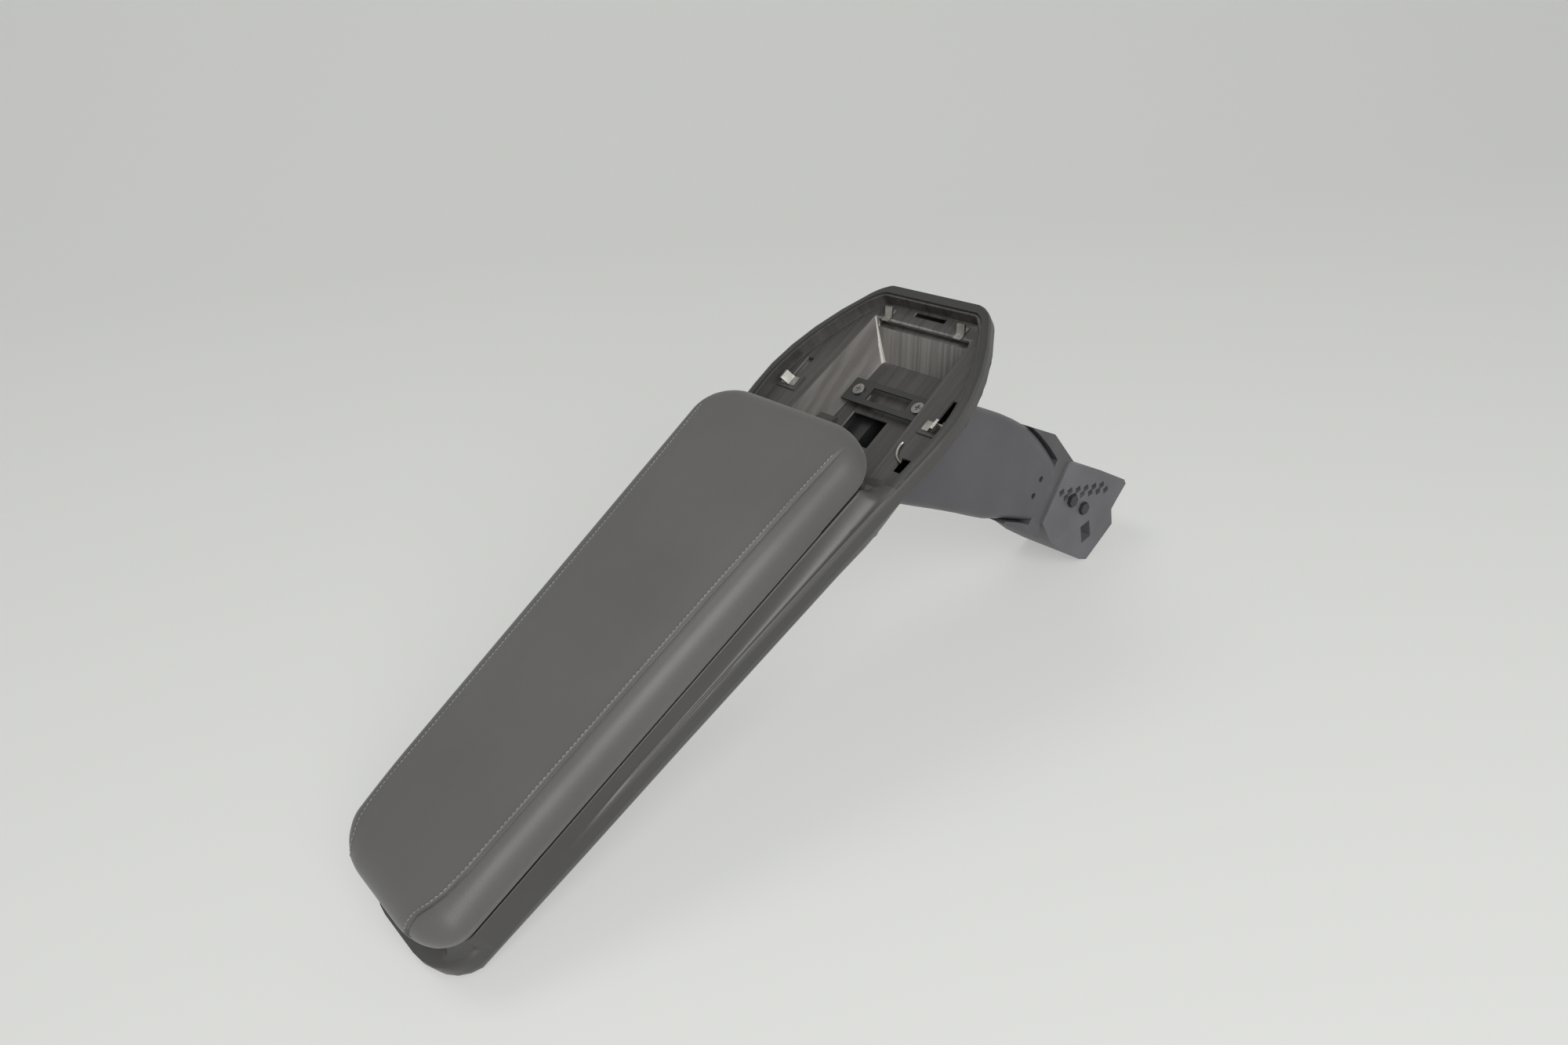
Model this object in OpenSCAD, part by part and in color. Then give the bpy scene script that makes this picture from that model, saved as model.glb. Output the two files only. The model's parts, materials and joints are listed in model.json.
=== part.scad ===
// Car centre armrest on a raked leg: a padded lid over a shallow two-part shell,
// with an open front pocket whose control unit has been taken out, and a ribbed foot.
// Arm coordinates: y runs from the tail (0) to the pocket, z is 0 at the top of the rim.
// The whole is placed so that the origin is the middle of the foot's mounting face.

/* [Arm] */
// Half width of the arm at its tail
tail_w = 50; // [46:0.5:56]
// Half width of the arm at its widest, beside the pocket
belly_w = 80; // [76:0.5:88]
// Distance of the arm's widest place behind its pocket end
belly_back = 93; // [88:1:98]
// Half width of the arm at its pocket end
nose_w = 43; // [40:0.5:46]
// Narrowing at the pocket end's corners
nose_cut = 5; // [4:0.5:12]
// Depth of the rounded tail corners
tail_r = 24; // [18:1:30]
// Depth of the rounded pocket end corners
nose_r = 9; // [6:1:14]
// Wall of the moulded shells
wall = 2.5; // [2:0.1:3]

/* [Upper frame] */
// Height of the upper frame's side
frame_h = 9; // [8:0.5:11]
// Thickness of the upper frame's top
frame_t = 3; // [2.6:0.1:3.4]
// Height of the dust lip under the lid
lip_h = 2; // [1.4:0.1:2.4]
// Thickness of the dust lip
lip_t = 1.8; // [1.4:0.1:2.2]

/* [Lower shell] */
// Depth of the lower shell at the tail
keel_tail = 11; // [10.6:0.2:14]
// Depth of the lower shell under the pocket
keel_belly = 39; // [38:0.5:44]
// Length over which the shell rises again at the pocket end
keel_run = 41; // [38:1:44]
// Inward run of the side at the tail
turn_tail = 16; // [12:0.5:20]
// Inward run of the side under the pocket
turn_belly = 36; // [32:0.5:37]

/* [Lid] */
// Gap between the arm's tail and the lid's tail
lid_set = 9; // [8:0.5:12]
// Length of the lid
lid_l = 341; // [338:1:344]
// Half width of the lid at its tail
lid_tail_w = 55; // [52:0.5:58]
// How much narrower than the arm the lid is at its front
lid_side = 11; // [8:0.5:14]
// Depth of the lid's tail corners
lid_tail_r = 22; // [16:1:28]
// Depth of the lid's front corners
lid_front_r = 28; // [20:1:34]
// Clearance between the rim and the lid plate
lid_gap = 3; // [2.6:0.1:4]
// Thickness of the lid plate
plate_h = 6; // [5:0.5:8]
// Thickness of the padded cushion
pad_h = 27; // [24:0.5:32]
// How far the lid plate stays inside the cushion
plate_in = 8; // [7:0.5:10]

/* [Lid hinge] */
// Radius of the hinge pin
hinge_pin_r = 1.6; // [1.4:0.1:1.8]
// Outer radius of the hinge knuckles
knuckle_r = 3.6; // [3.4:0.1:3.8]
// Distance of the hinge axis behind the arm's tail edge
hinge_y = 13; // [12.5:0.5:14]
// Height of the hinge axis above the rim
hinge_z = 4; // [3.9:0.1:4.4]
// Half length of the hinge pin
hinge_half = 24; // [22:1:28]
// Play of the pin in its running bores
pin_play = 0.05; // [0.03:0.01:0.08]

/* [Release tab] */
// Half width of the release lever
tab_w = 6.5; // [5.5:0.5:8]
// Reach of the release tab ahead of its pivot
tab_reach = 33; // [30:1:36]
// Distance of the lever's pivot behind the lid's front edge
tab_set = 16; // [15:0.5:17]
// Radius of the lever's pivot pin
tab_pin_r = 1.2; // [1:0.1:1.4]

/* [Storage tray] */
// Depth of the tray below the rim
tray_d = 15; // [12:0.5:15]
// Wall of the tray
tray_t = 1.6; // [1.2:0.1:2]
// Distance of the tray inside the lid's outline
tray_in = 16; // [15:0.5:20]
// Start of the tray, measured from the tail
tray_y0 = 34; // [32:1:40]
// Width of the bridge between tray and pocket
bridge = 22; // [20:1:24]
// Thickness of the tray's mat
mat_t = 1.5; // [1:0.1:2]

/* [Pocket] */
// How far the lid's front edge reaches over the pocket
pocket_under = 11; // [9:0.5:13]
// Length of the pocket's opening
pocket_l = 128; // [124:0.5:130]
// Width of the rim beside the pocket
rim_w = 6; // [5.5:0.5:9]
// Depth of the pocket's ledge below the rim
ledge_d = 9; // [8:0.5:10]
// Depth of the pocket's well below the rim
well_d = 33; // [31:0.5:33.5]
// Width of the pocket's ledge beside the well
side_ledge = 28; // [26:0.5:31]
// Inward slope of each of the well's side walls
well_draft = 8; // [8:0.5:11]
// Wall of the pocket liner
liner_t = 1.6; // [1.4:0.1:2]
// Depth of the front ledge, fore and aft
front_ledge = 19; // [17:0.5:21]
// Slope of the well's front wall, fore and aft
front_rake = 17; // [14:0.5:20]
// Thickness of the pads under the side clips
clip_pad = 1.2; // [0.8:0.1:1.6]
// Spacing of the two bosses on the well's floor
boss_gap = 51; // [46:1:54]
// Outer radius of the floor bosses
boss_r = 5.5; // [5:0.1:6]
// Height of the floor bosses
boss_h = 5; // [4:0.5:6]

/* [Leg] */
// Half width of the leg
leg_w = 30; // [28:0.5:32]
// Half depth of the leg at its top, fore and aft
leg_d = 43; // [40:0.5:45]
// Middle of the leg's top, measured from the pocket end
leg_back = 79; // [77:0.5:81]
// Wall of the leg's covers
cover_t = 2.2; // [1.8:0.1:2.6]
// Half width of the leg's steel core
core_w = 16; // [14:0.5:18]
// Wall of the steel core
core_t = 3; // [2.5:0.1:4]

/* [Foot] */
// Height of the rim above the foot's mounting face
arm_rise = 279; // [274:1:285]
// Height of the foot at the leg's end
foot_h = 83; // [80:0.5:86]
// Middle of the mounting face, measured from the leg's middle
foot_ahead = 102; // [100:0.5:104]
// Half width of the foot
foot_w = 27; // [25:0.5:30]
// Spacing of the foot's two bolt holes
foot_bolt_gap = 36; // [32:1:38]
// Radius of the foot's bolt holes
foot_bolt_r = 3.4; // [2.8:0.1:3.6]
// Depth of the pockets in the foot's sides
rib_d = 9; // [6:0.5:10]
// Thickness of the webs between those pockets
rib_t = 2.4; // [2:0.1:3]

/* [Hidden] */

clear = 0.3;
seat = 0.02;
leather = [0.36, 0.355, 0.34];
shell_grey = [0.33, 0.33, 0.32];
dark_plastic = [0.2, 0.19, 0.18];
steel = [0.72, 0.72, 0.7];
black_rubber = [0.12, 0.12, 0.12];
cast_grey = [0.42, 0.42, 0.42];

plate_z = lid_gap;
pad_z = plate_z + plate_h;
pad_top = pad_z + pad_h;
lid_y0 = lid_set;
lid_y1 = lid_set + lid_l;
lid_front_w = belly_w - lid_side;
pocket_y0 = lid_y1 - pocket_under;
pocket_y1 = pocket_y0 + pocket_l;
arm_l = pocket_y1 + rim_w;
belly_y = arm_l - belly_back;
leg_y = arm_l - leg_back;
foot_y = leg_y + foot_ahead;
well_w = belly_w - rim_w - side_ledge;
floor_w = well_w - well_draft;
tray_y1 = pocket_y0 - bridge;
tab_y = lid_y1 - tab_set;
tab_z = plate_z + 3;
floor_z = -frame_h - keel_belly;
leg_l = arm_rise + floor_z - foot_h;
keel_y0 = pocket_y0 - 54;
keel_y1 = pocket_y0 + 11;

// Height in arm coordinates of what stands h above the mounting face
function up(h) = h - arm_rise;
// Smooth step from 0 at a to 1 at b
function ease(v, a, b) = let (t = max(0, min(1, (v - a) / (b - a)))) t * t * (3 - 2 * t);
// Share of a rounded end of depth r that is full at distance v from the end
function round_end(v, r) = v >= r ? 1 : sqrt(max(0, 1 - pow(1 - max(0, v) / r, 2)));
// Half width of an outline whose ends are rounded by elliptical corners
function with_ends(w, v, l, r0, r1, a0, a1) =
    w - a0 * (1 - round_end(v, r0)) - a1 * (1 - round_end(l - v, r1));
// Half width of the arm's side before its corners are rounded
function arm_side(y) = y < belly_y
    ? tail_w + (belly_w - tail_w) * pow(max(0, y / belly_y), 1.15)
    : belly_w - (belly_w - nose_w) * pow((y - belly_y) / (arm_l - belly_y), 2);
// Half width of the arm, inset on all sides
function arm_w(y, inset = 0) = with_ends(arm_side(y), y - inset, arm_l - 2 * inset,
    tail_r, nose_r, tail_w * 0.6, nose_cut) - inset;
// Half width of the lid, inset on all sides
function lid_w(y, inset = 0) = with_ends(
    lid_tail_w + (lid_front_w - lid_tail_w) * (y - lid_y0) / lid_l,
    y - lid_y0 - inset, lid_l - 2 * inset, lid_tail_r, lid_front_r,
    lid_tail_w * 0.6, lid_front_w * 0.5) - inset;
// Depth of the lower shell below the parting line
function keel(y) = (keel_tail + (keel_belly - keel_tail) * ease(y, keel_y0, keel_y1))
    * (1 - 0.62 * pow(max(0, y - arm_l + keel_run) / keel_run, 2)) * (0.45 + 0.55 * round_end(y, tail_r));
// Inward run of the lower shell's side
function turn(y) = turn_tail + (turn_belly - turn_tail) * ease(y, keel_y0, keel_y1);
// Fullness of the lower shell's side: 1 is round, 2 is straight
function fullness(y) = 1 + ease(y, keel_y0, keel_y1);

// Stations along the arm, close together at the rounded ends
function stations(y0, y1, r0, r1, n) = concat(
    [for (i = [0:5]) y0 + r0 * (1 - cos(i * 15))],
    [for (i = [0:n]) y0 + r0 + (y1 - r1 - y0 - r0) * i / n],
    [for (i = [1:6]) y1 - r1 + r1 * sin(i * 15)]);

// Closed skin over a row of sections, each a loop with the same number of points
module loft(sections) {
    m = len(sections[0]);
    n = len(sections);
    sides = [for (i = [0:n - 2]) for (j = [0:m - 1])
        [i * m + j, (i + 1) * m + j, (i + 1) * m + (j + 1) % m, i * m + (j + 1) % m]];
    start = [for (j = [0:m - 1]) j];
    end = [for (j = [m - 1:-1:0]) (n - 1) * m + j];
    polyhedron(points = [for (s = sections) each s], faces = concat(sides, [start, end]));
}

// Mirrors a half section, given from the middle of the top to the middle of the bottom
function both_sides(half, y) = concat(
    [for (p = half) [p[0], y, p[1]]],
    [for (i = [len(half) - 1:-1:0]) if (half[i][0] > 0.001) [-half[i][0], y, half[i][1]]]);

// Plan outline between two stations, from a list of [y, half width]
function plan(rows) = concat(
    [for (r = rows) [r[1], r[0]]],
    [for (i = [len(rows) - 1:-1:0]) [-rows[i][1], rows[i][0]]]);

// Flat plate with the arm's or the lid's outline
module lid_slab(inset, z0, h, y0 = lid_y0, y1 = lid_y1) {
    s0 = max(y0, lid_y0 + inset);
    s1 = min(y1, lid_y1 - inset);
    r0 = s0 > lid_y0 + inset ? 1 : lid_tail_r;
    r1 = s1 < lid_y1 - inset ? 1 : lid_front_r;
    translate([0, 0, z0])
        linear_extrude(h)
            polygon(plan([for (y = stations(s0, s1, r0, r1, 10)) [y, lid_w(y, inset)]]));
}
module arm_slab(inset, z0, h, y0, y1) {
    r1 = y1 < arm_l - inset ? 1 : nose_r;
    translate([0, 0, z0])
        linear_extrude(h)
            polygon(plan([for (y = stations(y0, y1, 1, r1, 14)) [y, arm_w(y, inset)]]));
}

// Side profile given in arm coordinates as [y, z], cut from a slab between x0 and x1
module side_cut(points, x0, x1) {
    translate([x0, 0, 0])
        rotate([90, 0, 90])
            linear_extrude(x1 - x0)
                polygon(points);
}

// Pan-head screw, head upwards, its underside at the origin
module screw(r, l, head_r, head_h) {
    difference() {
        union() {
            cylinder(r = head_r, h = head_h, $fn = 32);
            translate([0, 0, -l]) cylinder(r = r, h = l + seat, $fn = 24);
        }
        translate([-head_r * 0.5, -head_r * 0.12, head_h * 0.5])
            cube([head_r, head_r * 0.24, head_h]);
        translate([-head_r * 0.12, -head_r * 0.5, head_h * 0.5])
            cube([head_r * 0.24, head_r, head_h]);
    }
}

// Lid: a padded cushion on a ribbed plate

module lid_cushion() {
    half = function (y)
        let (w = lid_w(y),
            k = 0.4 + 0.6 * round_end(min(y - lid_y0, lid_y1 - y), 10),
            mid = pad_z + pad_h * 0.42,
            top = mid + (pad_top - mid) * k,
            low = mid - (mid - pad_z) * k,
            r = min(16, w * 0.4))
        [[0, top + 0.8], [w - r, top], [w - r * 0.56, top - pad_h * 0.05], [w - r * 0.25, top - pad_h * 0.16],
            [w - r * 0.06, mid + (top - mid) * 0.4], [w, mid], [w - r * 0.12, low + (mid - low) * 0.4],
            [w - plate_in, low]];
    color(leather)
        loft([for (y = stations(lid_y0, lid_y1, lid_tail_r, lid_front_r, 14)) both_sides(half(y), y)]);
}

// Room for the hinge knuckles in the underside of the lid
module hinge_well(top) {
    translate([-hinge_half - 1, lid_y0 - 5, 0])
        cube([2 * hinge_half + 2, hinge_y + knuckle_r + 1 - lid_y0 + 5, top]);
}

module lid_plate() {
    rib_n = 9;
    color(dark_plastic)
        difference() {
            lid_slab(plate_in + 1, plate_z, plate_h - seat);
            difference() {
                lid_slab(plate_in + 4, plate_z - 1, plate_h - 1.6);
                for (i = [1:rib_n])
                    translate([-100, lid_y0 + lid_l * i / (rib_n + 1) - 0.9, plate_z - 2])
                        cube([200, 1.8, plate_h]);
                for (x = [-30, 0, 30])
                    translate([x - 0.9, lid_y0, plate_z - 2]) cube([1.8, lid_l, plate_h]);
                for (p = plate_screw_places)
                    translate([p[0], p[1], plate_z - 2]) cylinder(r = 5, h = plate_h + 2, $fn = 32);
                translate([-tab_w - 6, tab_y - 8, plate_z - 2]) cube([2 * tab_w + 12, 40, plate_h]);
                translate([-hinge_half - 4, lid_y0, plate_z - 2])
                    cube([2 * hinge_half + 8, 36, plate_h]);
            }
            for (p = plate_screw_places)
                translate([p[0], p[1], plate_z - 1]) cylinder(r = 1.8, h = plate_h + 2, $fn = 24);
            for (p = plate_screw_places)
                translate([p[0], p[1], plate_z - 1]) cylinder(r = 3.7, h = 3.2, $fn = 32);
            for (p = buffer_places)
                translate([p[0], p[1], plate_z - 1]) cylinder(r = 2, h = plate_h + 2, $fn = 24);
            for (x = [-10, 10])
                translate([x, leaf_screw_y, plate_z - 1]) cylinder(r = 1.75, h = plate_h + 2, $fn = 24);
            hinge_well(plate_z + plate_h + 1);
            leaf_seat();
            lever_notch();
            translate([0, tab_y, tab_z]) rotate([0, 90, 0])
                cylinder(r = tab_pin_r + pin_play, h = 2 * tab_w + 8, center = true, $fn = 32);
        }
}

plate_screw_places = [for (x = [-1, 1]) each [[x * 34, lid_y0 + 62], [x * 38, lid_y0 + 180], [x * 40, lid_y0 + 292]]];
buffer_places = [for (s = [-1, 1]) each [[s * 34, tray_y0 - 7.5], [s * 44, tray_y1 + 8]]];

module lid_plate_screws() {
    color(steel)
        for (p = plate_screw_places)
            translate([p[0], p[1], plate_z + 2.2]) mirror([0, 0, 1]) screw(1.75, plate_h - 3, 3.4, 1.8);
}

module lid_buffers() {
    color(black_rubber)
        for (p = buffer_places)
            translate([p[0], p[1], 0]) {
                translate([0, 0, clear]) cylinder(r1 = 3.6, r2 = 4.4, h = plate_z - clear - seat, $fn = 32);
                translate([0, 0, plate_z - 0.1]) cylinder(r = 1.95, h = plate_h - 0.5, $fn = 24);
            }
}

// Hinge: a leaf in the lid, a bracket in the arm and one steel pin

leaf_w = 17;
leaf_t = 2;
leaf_l = 22;
leaf_screw_y = hinge_y + 17;

module leaf_seat() {
    translate([-leaf_w - clear, hinge_y, plate_z - 1])
        cube([2 * (leaf_w + clear), leaf_l + clear, leaf_t + 1.02]);
}

module hinge_leaf() {
    color(steel)
        difference() {
            union() {
                translate([-leaf_w, hinge_y, plate_z]) cube([2 * leaf_w, leaf_l, leaf_t]);
                translate([0, hinge_y, hinge_z]) rotate([0, 90, 0])
                    cylinder(r = knuckle_r, h = 2 * leaf_w, center = true, $fn = 48);
            }
            translate([0, hinge_y, hinge_z]) rotate([0, 90, 0])
                cylinder(r = hinge_pin_r + pin_play, h = 3 * leaf_w, center = true, $fn = 48);
            for (x = [-10, 10])
                translate([x, leaf_screw_y, 0]) cylinder(r = 1.8, h = 20, $fn = 24);
        }
}

module hinge_pin() {
    color(steel)
        translate([0, hinge_y, hinge_z]) rotate([0, 90, 0]) {
            cylinder(r = hinge_pin_r, h = 2 * hinge_half - 2, center = true, $fn = 48);
            translate([0, 0, hinge_half - 1.2]) cylinder(r = hinge_pin_r + 0.9, h = 1.2, $fn = 32);
        }
}

ear_x0 = leaf_w + clear;
ear_x1 = hinge_half - 1.4;

module hinge_bracket() {
    base_z = -frame_t;
    color(steel)
        difference() {
            union() {
                for (s = [-1, 1])
                    translate([s > 0 ? ear_x0 : -ear_x1, 0, 0]) {
                        translate([0, hinge_y, hinge_z]) rotate([0, 90, 0])
                            cylinder(r = knuckle_r, h = ear_x1 - ear_x0, $fn = 48);
                        translate([0, hinge_y - knuckle_r, base_z - 1])
                            cube([ear_x1 - ear_x0, 2 * knuckle_r, hinge_z - base_z + 1]);
                    }
                translate([-ear_x1, hinge_y - knuckle_r, base_z - 2 - seat])
                    cube([2 * ear_x1, 2 * knuckle_r + 8, 2]);
            }
            translate([0, hinge_y, hinge_z]) rotate([0, 90, 0])
                cylinder(r = hinge_pin_r + pin_play, h = 3 * leaf_w, center = true, $fn = 48);
            for (x = [-13, 13])
                translate([x, hinge_y + 7.6, base_z - 5]) cylinder(r = 1.6, h = 12, $fn = 24);
        }
}

module leaf_screws() {
    color(steel)
        for (x = [-10, 10])
            translate([x, leaf_screw_y, plate_z]) mirror([0, 0, 1]) screw(1.7, plate_h - 1, 3, 1.4);
}

module bracket_screws() {
    color(steel)
        for (x = [-13, 13])
            translate([x, hinge_y + 7.6, -frame_t - 2 - 2 * seat]) mirror([0, 0, 1]) screw(1.5, 3.4, 2.8, 1.4);
}

// Release lever at the front edge of the lid, with its pin and leaf spring

module lever_notch() {
    translate([-tab_w - clear, tab_y - 4, plate_z - 1])
        cube([2 * (tab_w + clear), 40, plate_h + 1 - notch_skin]);
}

notch_skin = 0.7;
spring_top = pad_z - notch_skin - 0.02;

hook_x = tab_w - 1;
hook_tip = tab_y - 6.2;

module release_lever() {
    color(shell_grey)
        difference() {
            union() {
                side_cut([[tab_y - 3, tab_z - 2.8], [tab_y + 3, tab_z - 3.6], [tab_y + tab_reach - 7, tab_z - 5],
                    [tab_y + tab_reach - 1.5, tab_z - 5], [tab_y + tab_reach, tab_z - 3.6],
                    [tab_y + tab_reach - 0.6, tab_z - 2], [tab_y + tab_reach - 4, tab_z - 1.2],
                    [tab_y + 8, tab_z - 0.4], [tab_y + 3, tab_z + 1.8], [tab_y - 3, tab_z + 1.8]],
                    -tab_w, tab_w);
                side_cut([[tab_y - 2.8, tab_z - 2], [tab_y - 2.8, tab_z - 10.9], [hook_tip, tab_z - 11.1],
                    [hook_tip, tab_z - 12.4], [tab_y - 3.6, tab_z - 14.4], [tab_y + 0.4, tab_z - 13.6],
                    [tab_y + 2, tab_z - 2]], -hook_x, hook_x);
            }
            translate([0, tab_y, tab_z]) rotate([0, 90, 0])
                cylinder(r = tab_pin_r + pin_play, h = 60, center = true, $fn = 32);
        }
}

module release_pin() {
    color(steel)
        translate([0, tab_y, tab_z]) rotate([0, 90, 0])
            cylinder(r = tab_pin_r, h = 2 * tab_w + 7.6, center = true, $fn = 32);
}

module release_spring() {
    color(steel)
        side_cut([[tab_y + 14, spring_top], [tab_y + 4.6, spring_top], [tab_y + 4.2, spring_top - 0.6],
            [tab_y + 13.6, tab_z - 0.3], [tab_y + 14, tab_z + 0.1], [tab_y + 5.4, spring_top - 0.5],
            [tab_y + 14, spring_top - 0.4]], -tab_w + 2.5, tab_w - 2.5);
}

striker_t = 1.5;
striker_x = 20;
striker_y0 = tray_y1 + 1;
striker_y1 = hook_tip - clear;
striker_screw_y = striker_y0 + 4.7;
striker_show = 1.5;

// Room for the hook in the frame's bridge, open towards the pocket
module striker_notch() {
    translate([-2 * striker_x, striker_y1 - striker_show, -frame_h])
        cube([4 * striker_x, pocket_y0 + 1 - striker_y1 + striker_show, 20]);
}

module striker() {
    color(steel)
        difference() {
            translate([-striker_x, striker_y0, -frame_t - striker_t - seat])
                cube([2 * striker_x, striker_y1 - striker_y0, striker_t]);
            for (x = [-15, 15])
                translate([x, striker_screw_y, -frame_t - 5]) cylinder(r = 1.6, h = 10, $fn = 24);
        }
}

module striker_screws() {
    color(steel)
        for (x = [-15, 15])
            translate([x, striker_screw_y, -frame_t - striker_t - 2 * seat]) mirror([0, 0, 1])
                screw(1.5, striker_t + 1.6, 2.8, 1.4);
}

// Arm: an upper frame and a lower shell that meet at the parting line

module arm_solid(inset, z_top, z_low, edge) {
    half = function (y)
        let (w = max(1, arm_w(y, inset)))
        [[w - edge, z_top], [w - edge * 0.3, z_top - edge * 0.3], [w, z_top - edge], [w, z_low]];
    loft([for (y = stations(inset, arm_l - inset, tail_r, nose_r, 24)) both_sides(half(y), y)]);
}

// Shoulder beside the lid: it sweeps up from the arm's side to a crest close under the cushion
shoulder_in = plate_in + 0.5;
shoulder_out = plate_in - 2.6;
shoulder_rows = [for (i = [0:14]) tray_y0 + 6 + (tray_y1 + 12 - tray_y0) * i / 14];

module frame_shoulder() {
    sweep = [0, 0.12, 0.3, 0.55, 1];
    y0 = shoulder_rows[0];
    y1 = shoulder_rows[len(shoulder_rows) - 1];
    half = function (y)
        let (k = ease(y, y0, y0 + 30) * (1 - ease(y, y1 - 40, y1)),
            a = lid_w(y) - shoulder_in, b = lid_w(y) - shoulder_out, c = max(b + 0.4, arm_w(y) - 2.6),
            h = 0.1 + (pad_z - 0.5) * k)
        concat([[a, -1], [a, h], [a + 1, h]],
            [for (t = sweep) [b + (c - b) * t, (h + k) * pow(1 - t, 1.7) - 0.2 * t]], [[c, -1]]);
    for (s = [-1, 1])
        scale([s, 1, 1]) loft([for (y = shoulder_rows) [for (p = half(y)) [p[0], y, p[1]]]]);
}

module upper_frame() {
    color(shell_grey)
        difference() {
            union() {
                frame_shoulder();
                difference() {
                    arm_solid(0, 0, -frame_h, 3);
                    arm_solid(wall, -frame_t, -frame_h - 1, 0.6);
                }
                difference() {
                    lid_slab(plate_in - lip_t - 1.2, -frame_t, frame_t + lip_h);
                    lid_slab(plate_in - 1.2, -frame_t - 1, frame_t + lip_h + 2, lid_y0, pocket_y0 + 40);
                    translate([-100, pocket_y0 - 4, -frame_t - 1]) cube([200, 100, 20]);
                }
                for (p = shell_screw_places)
                    translate([p[0], p[1], -frame_h]) cylinder(r = 3.4, h = frame_h - 1, $fn = 32);
            }
            lid_slab(tray_in, -frame_h, 20, tray_y0, tray_y1);
            arm_slab(rim_w, -frame_h - 1, 20, pocket_y0, pocket_y1);
            translate([-hinge_half - 1, hinge_y - knuckle_r - 0.5, -frame_t - 1])
                cube([2 * hinge_half + 2, 2 * knuckle_r + 1, 20]);
            for (x = [-13, 13])
                translate([x, hinge_y + 7.6, -frame_h]) cylinder(r = 1.55, h = frame_h - 1, $fn = 24);
            striker_notch();
            for (x = [-15, 15])
                translate([x, striker_screw_y, -frame_h]) cylinder(r = 1.55, h = frame_h - 1, $fn = 24);
            for (p = shell_screw_places)
                translate([p[0], p[1], -frame_h - 1]) cylinder(r = 1.4, h = frame_h - 1, $fn = 24);
        }
}

shell_screw_places = [for (s = [-1, 1]) for (y = [tray_y0 - 6, 200, tray_y1 + 8])
    [s * (arm_w(y) - turn(y) + 3), y]];

// Stations of the lower shell, close together where it deepens for the pocket
function shell_stations(inset) = concat(
    [for (i = [0:5]) inset + tail_r * (1 - cos(i * 15))],
    [for (i = [1:4]) tail_r + (keel_y0 - tail_r) * i / 4],
    [for (i = [1:6]) keel_y0 + (keel_y1 - keel_y0) * i / 6],
    [for (i = [1:5]) keel_y1 + (arm_l - nose_r - keel_y1) * i / 5],
    [for (i = [1:5]) arm_l - nose_r + (nose_r - inset) * sin(i * 18)]);

module shell_solid(inset, lift) {
    steps = 6;
    half = function (y)
        let (w = max(2, arm_w(y, inset)), d = keel(y) - inset, b = min(turn(y), w - 1), e = fullness(y))
        concat([[w, lift - frame_h]],
            [for (i = [1:steps]) let (a = i * 90 / steps)
                [w - b * (1 - pow(cos(a), e)), -frame_h - d * pow(sin(a), e)]]);
    loft([for (y = shell_stations(inset)) both_sides(half(y), y)]);
}

module lower_shell() {
    color(shell_grey)
        difference() {
            union() {
                difference() {
                    shell_solid(0, -seat);
                    shell_solid(wall, 1);
                }
                for (p = shell_screw_places)
                    translate([p[0], p[1], 1.2 - frame_h - keel(p[1])])
                        cylinder(r = 4, h = keel(p[1]) - 1.2 - seat, $fn = 32);
            }
            for (p = shell_screw_places) {
                translate([p[0], p[1], -60]) cylinder(r = 1.8, h = 60, $fn = 24);
                translate([p[0], p[1], -60]) cylinder(r = 3.2, h = 60 - frame_h - 4, $fn = 24);
            }
            translate([0, leg_y, floor_z - 1])
                linear_extrude(wall + 4)
                    square([2 * core_w + 0.6, 2 * (leg_d - 10)], center = true);
            for (p = core_bolt_places)
                translate([p[0], p[1], floor_z - 1]) cylinder(r = 2.6, h = wall + 4, $fn = 24);
        }
}

module shell_screws() {
    color(steel)
        for (p = shell_screw_places)
            translate([p[0], p[1], -frame_h - 4]) mirror([0, 0, 1]) screw(1.35, 9, 2.8, 1.6);
}

// Storage tray under the lid

module storage_tray() {
    color(dark_plastic)
        difference() {
            union() {
                lid_slab(tray_in + clear, -tray_d - tray_t, tray_d + tray_t, tray_y0 + clear, tray_y1 - clear);
                lid_slab(tray_in - 2.6, 0, 1.2, tray_y0 - 2.6, tray_y1 + 2.6);
            }
            lid_slab(tray_in + clear + tray_t, -tray_d, tray_d + 10, tray_y0 + tray_t, tray_y1 - tray_t);
        }
}

module tray_mat() {
    color(black_rubber)
        difference() {
            lid_slab(tray_in + clear + tray_t + clear, -tray_d + seat, mat_t, tray_y0 + 2.2, tray_y1 - 2.2);
            for (i = [0:16])
                translate([-32, tray_y0 + 20 + i * 15, -tray_d + mat_t * 0.6]) cube([64, 2, mat_t]);
        }
}

// Open pocket at the front: a moulded liner with a ledge all round and a deep well

well_y0 = pocket_y0 + 6;
well_y1 = pocket_y1 - front_ledge + 6;

module well(grow) {
    hull() {
        translate([0, 0, -ledge_d - grow * 0.5])
            linear_extrude(0.01 + grow * 0.5)
                polygon([[-well_w - grow, well_y0 - grow], [well_w + grow, well_y0 - grow],
                    [well_w - 5 + grow, well_y1 + grow], [-well_w + 5 - grow, well_y1 + grow]]);
        translate([0, 0, -well_d - grow])
            linear_extrude(0.01)
                polygon([[-floor_w - grow, well_y0 + 2 - grow], [floor_w + grow, well_y0 + 2 - grow],
                    [floor_w - 6 + grow, well_y1 - front_rake + grow],
                    [-floor_w + 6 - grow, well_y1 - front_rake + grow]]);
    }
}

boss_y = pocket_y0 + 68;
// Height of the dark groove under the front ledge's lip
lip_drop = 4;
lip_z = -ledge_d - liner_t - lip_drop;

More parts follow.
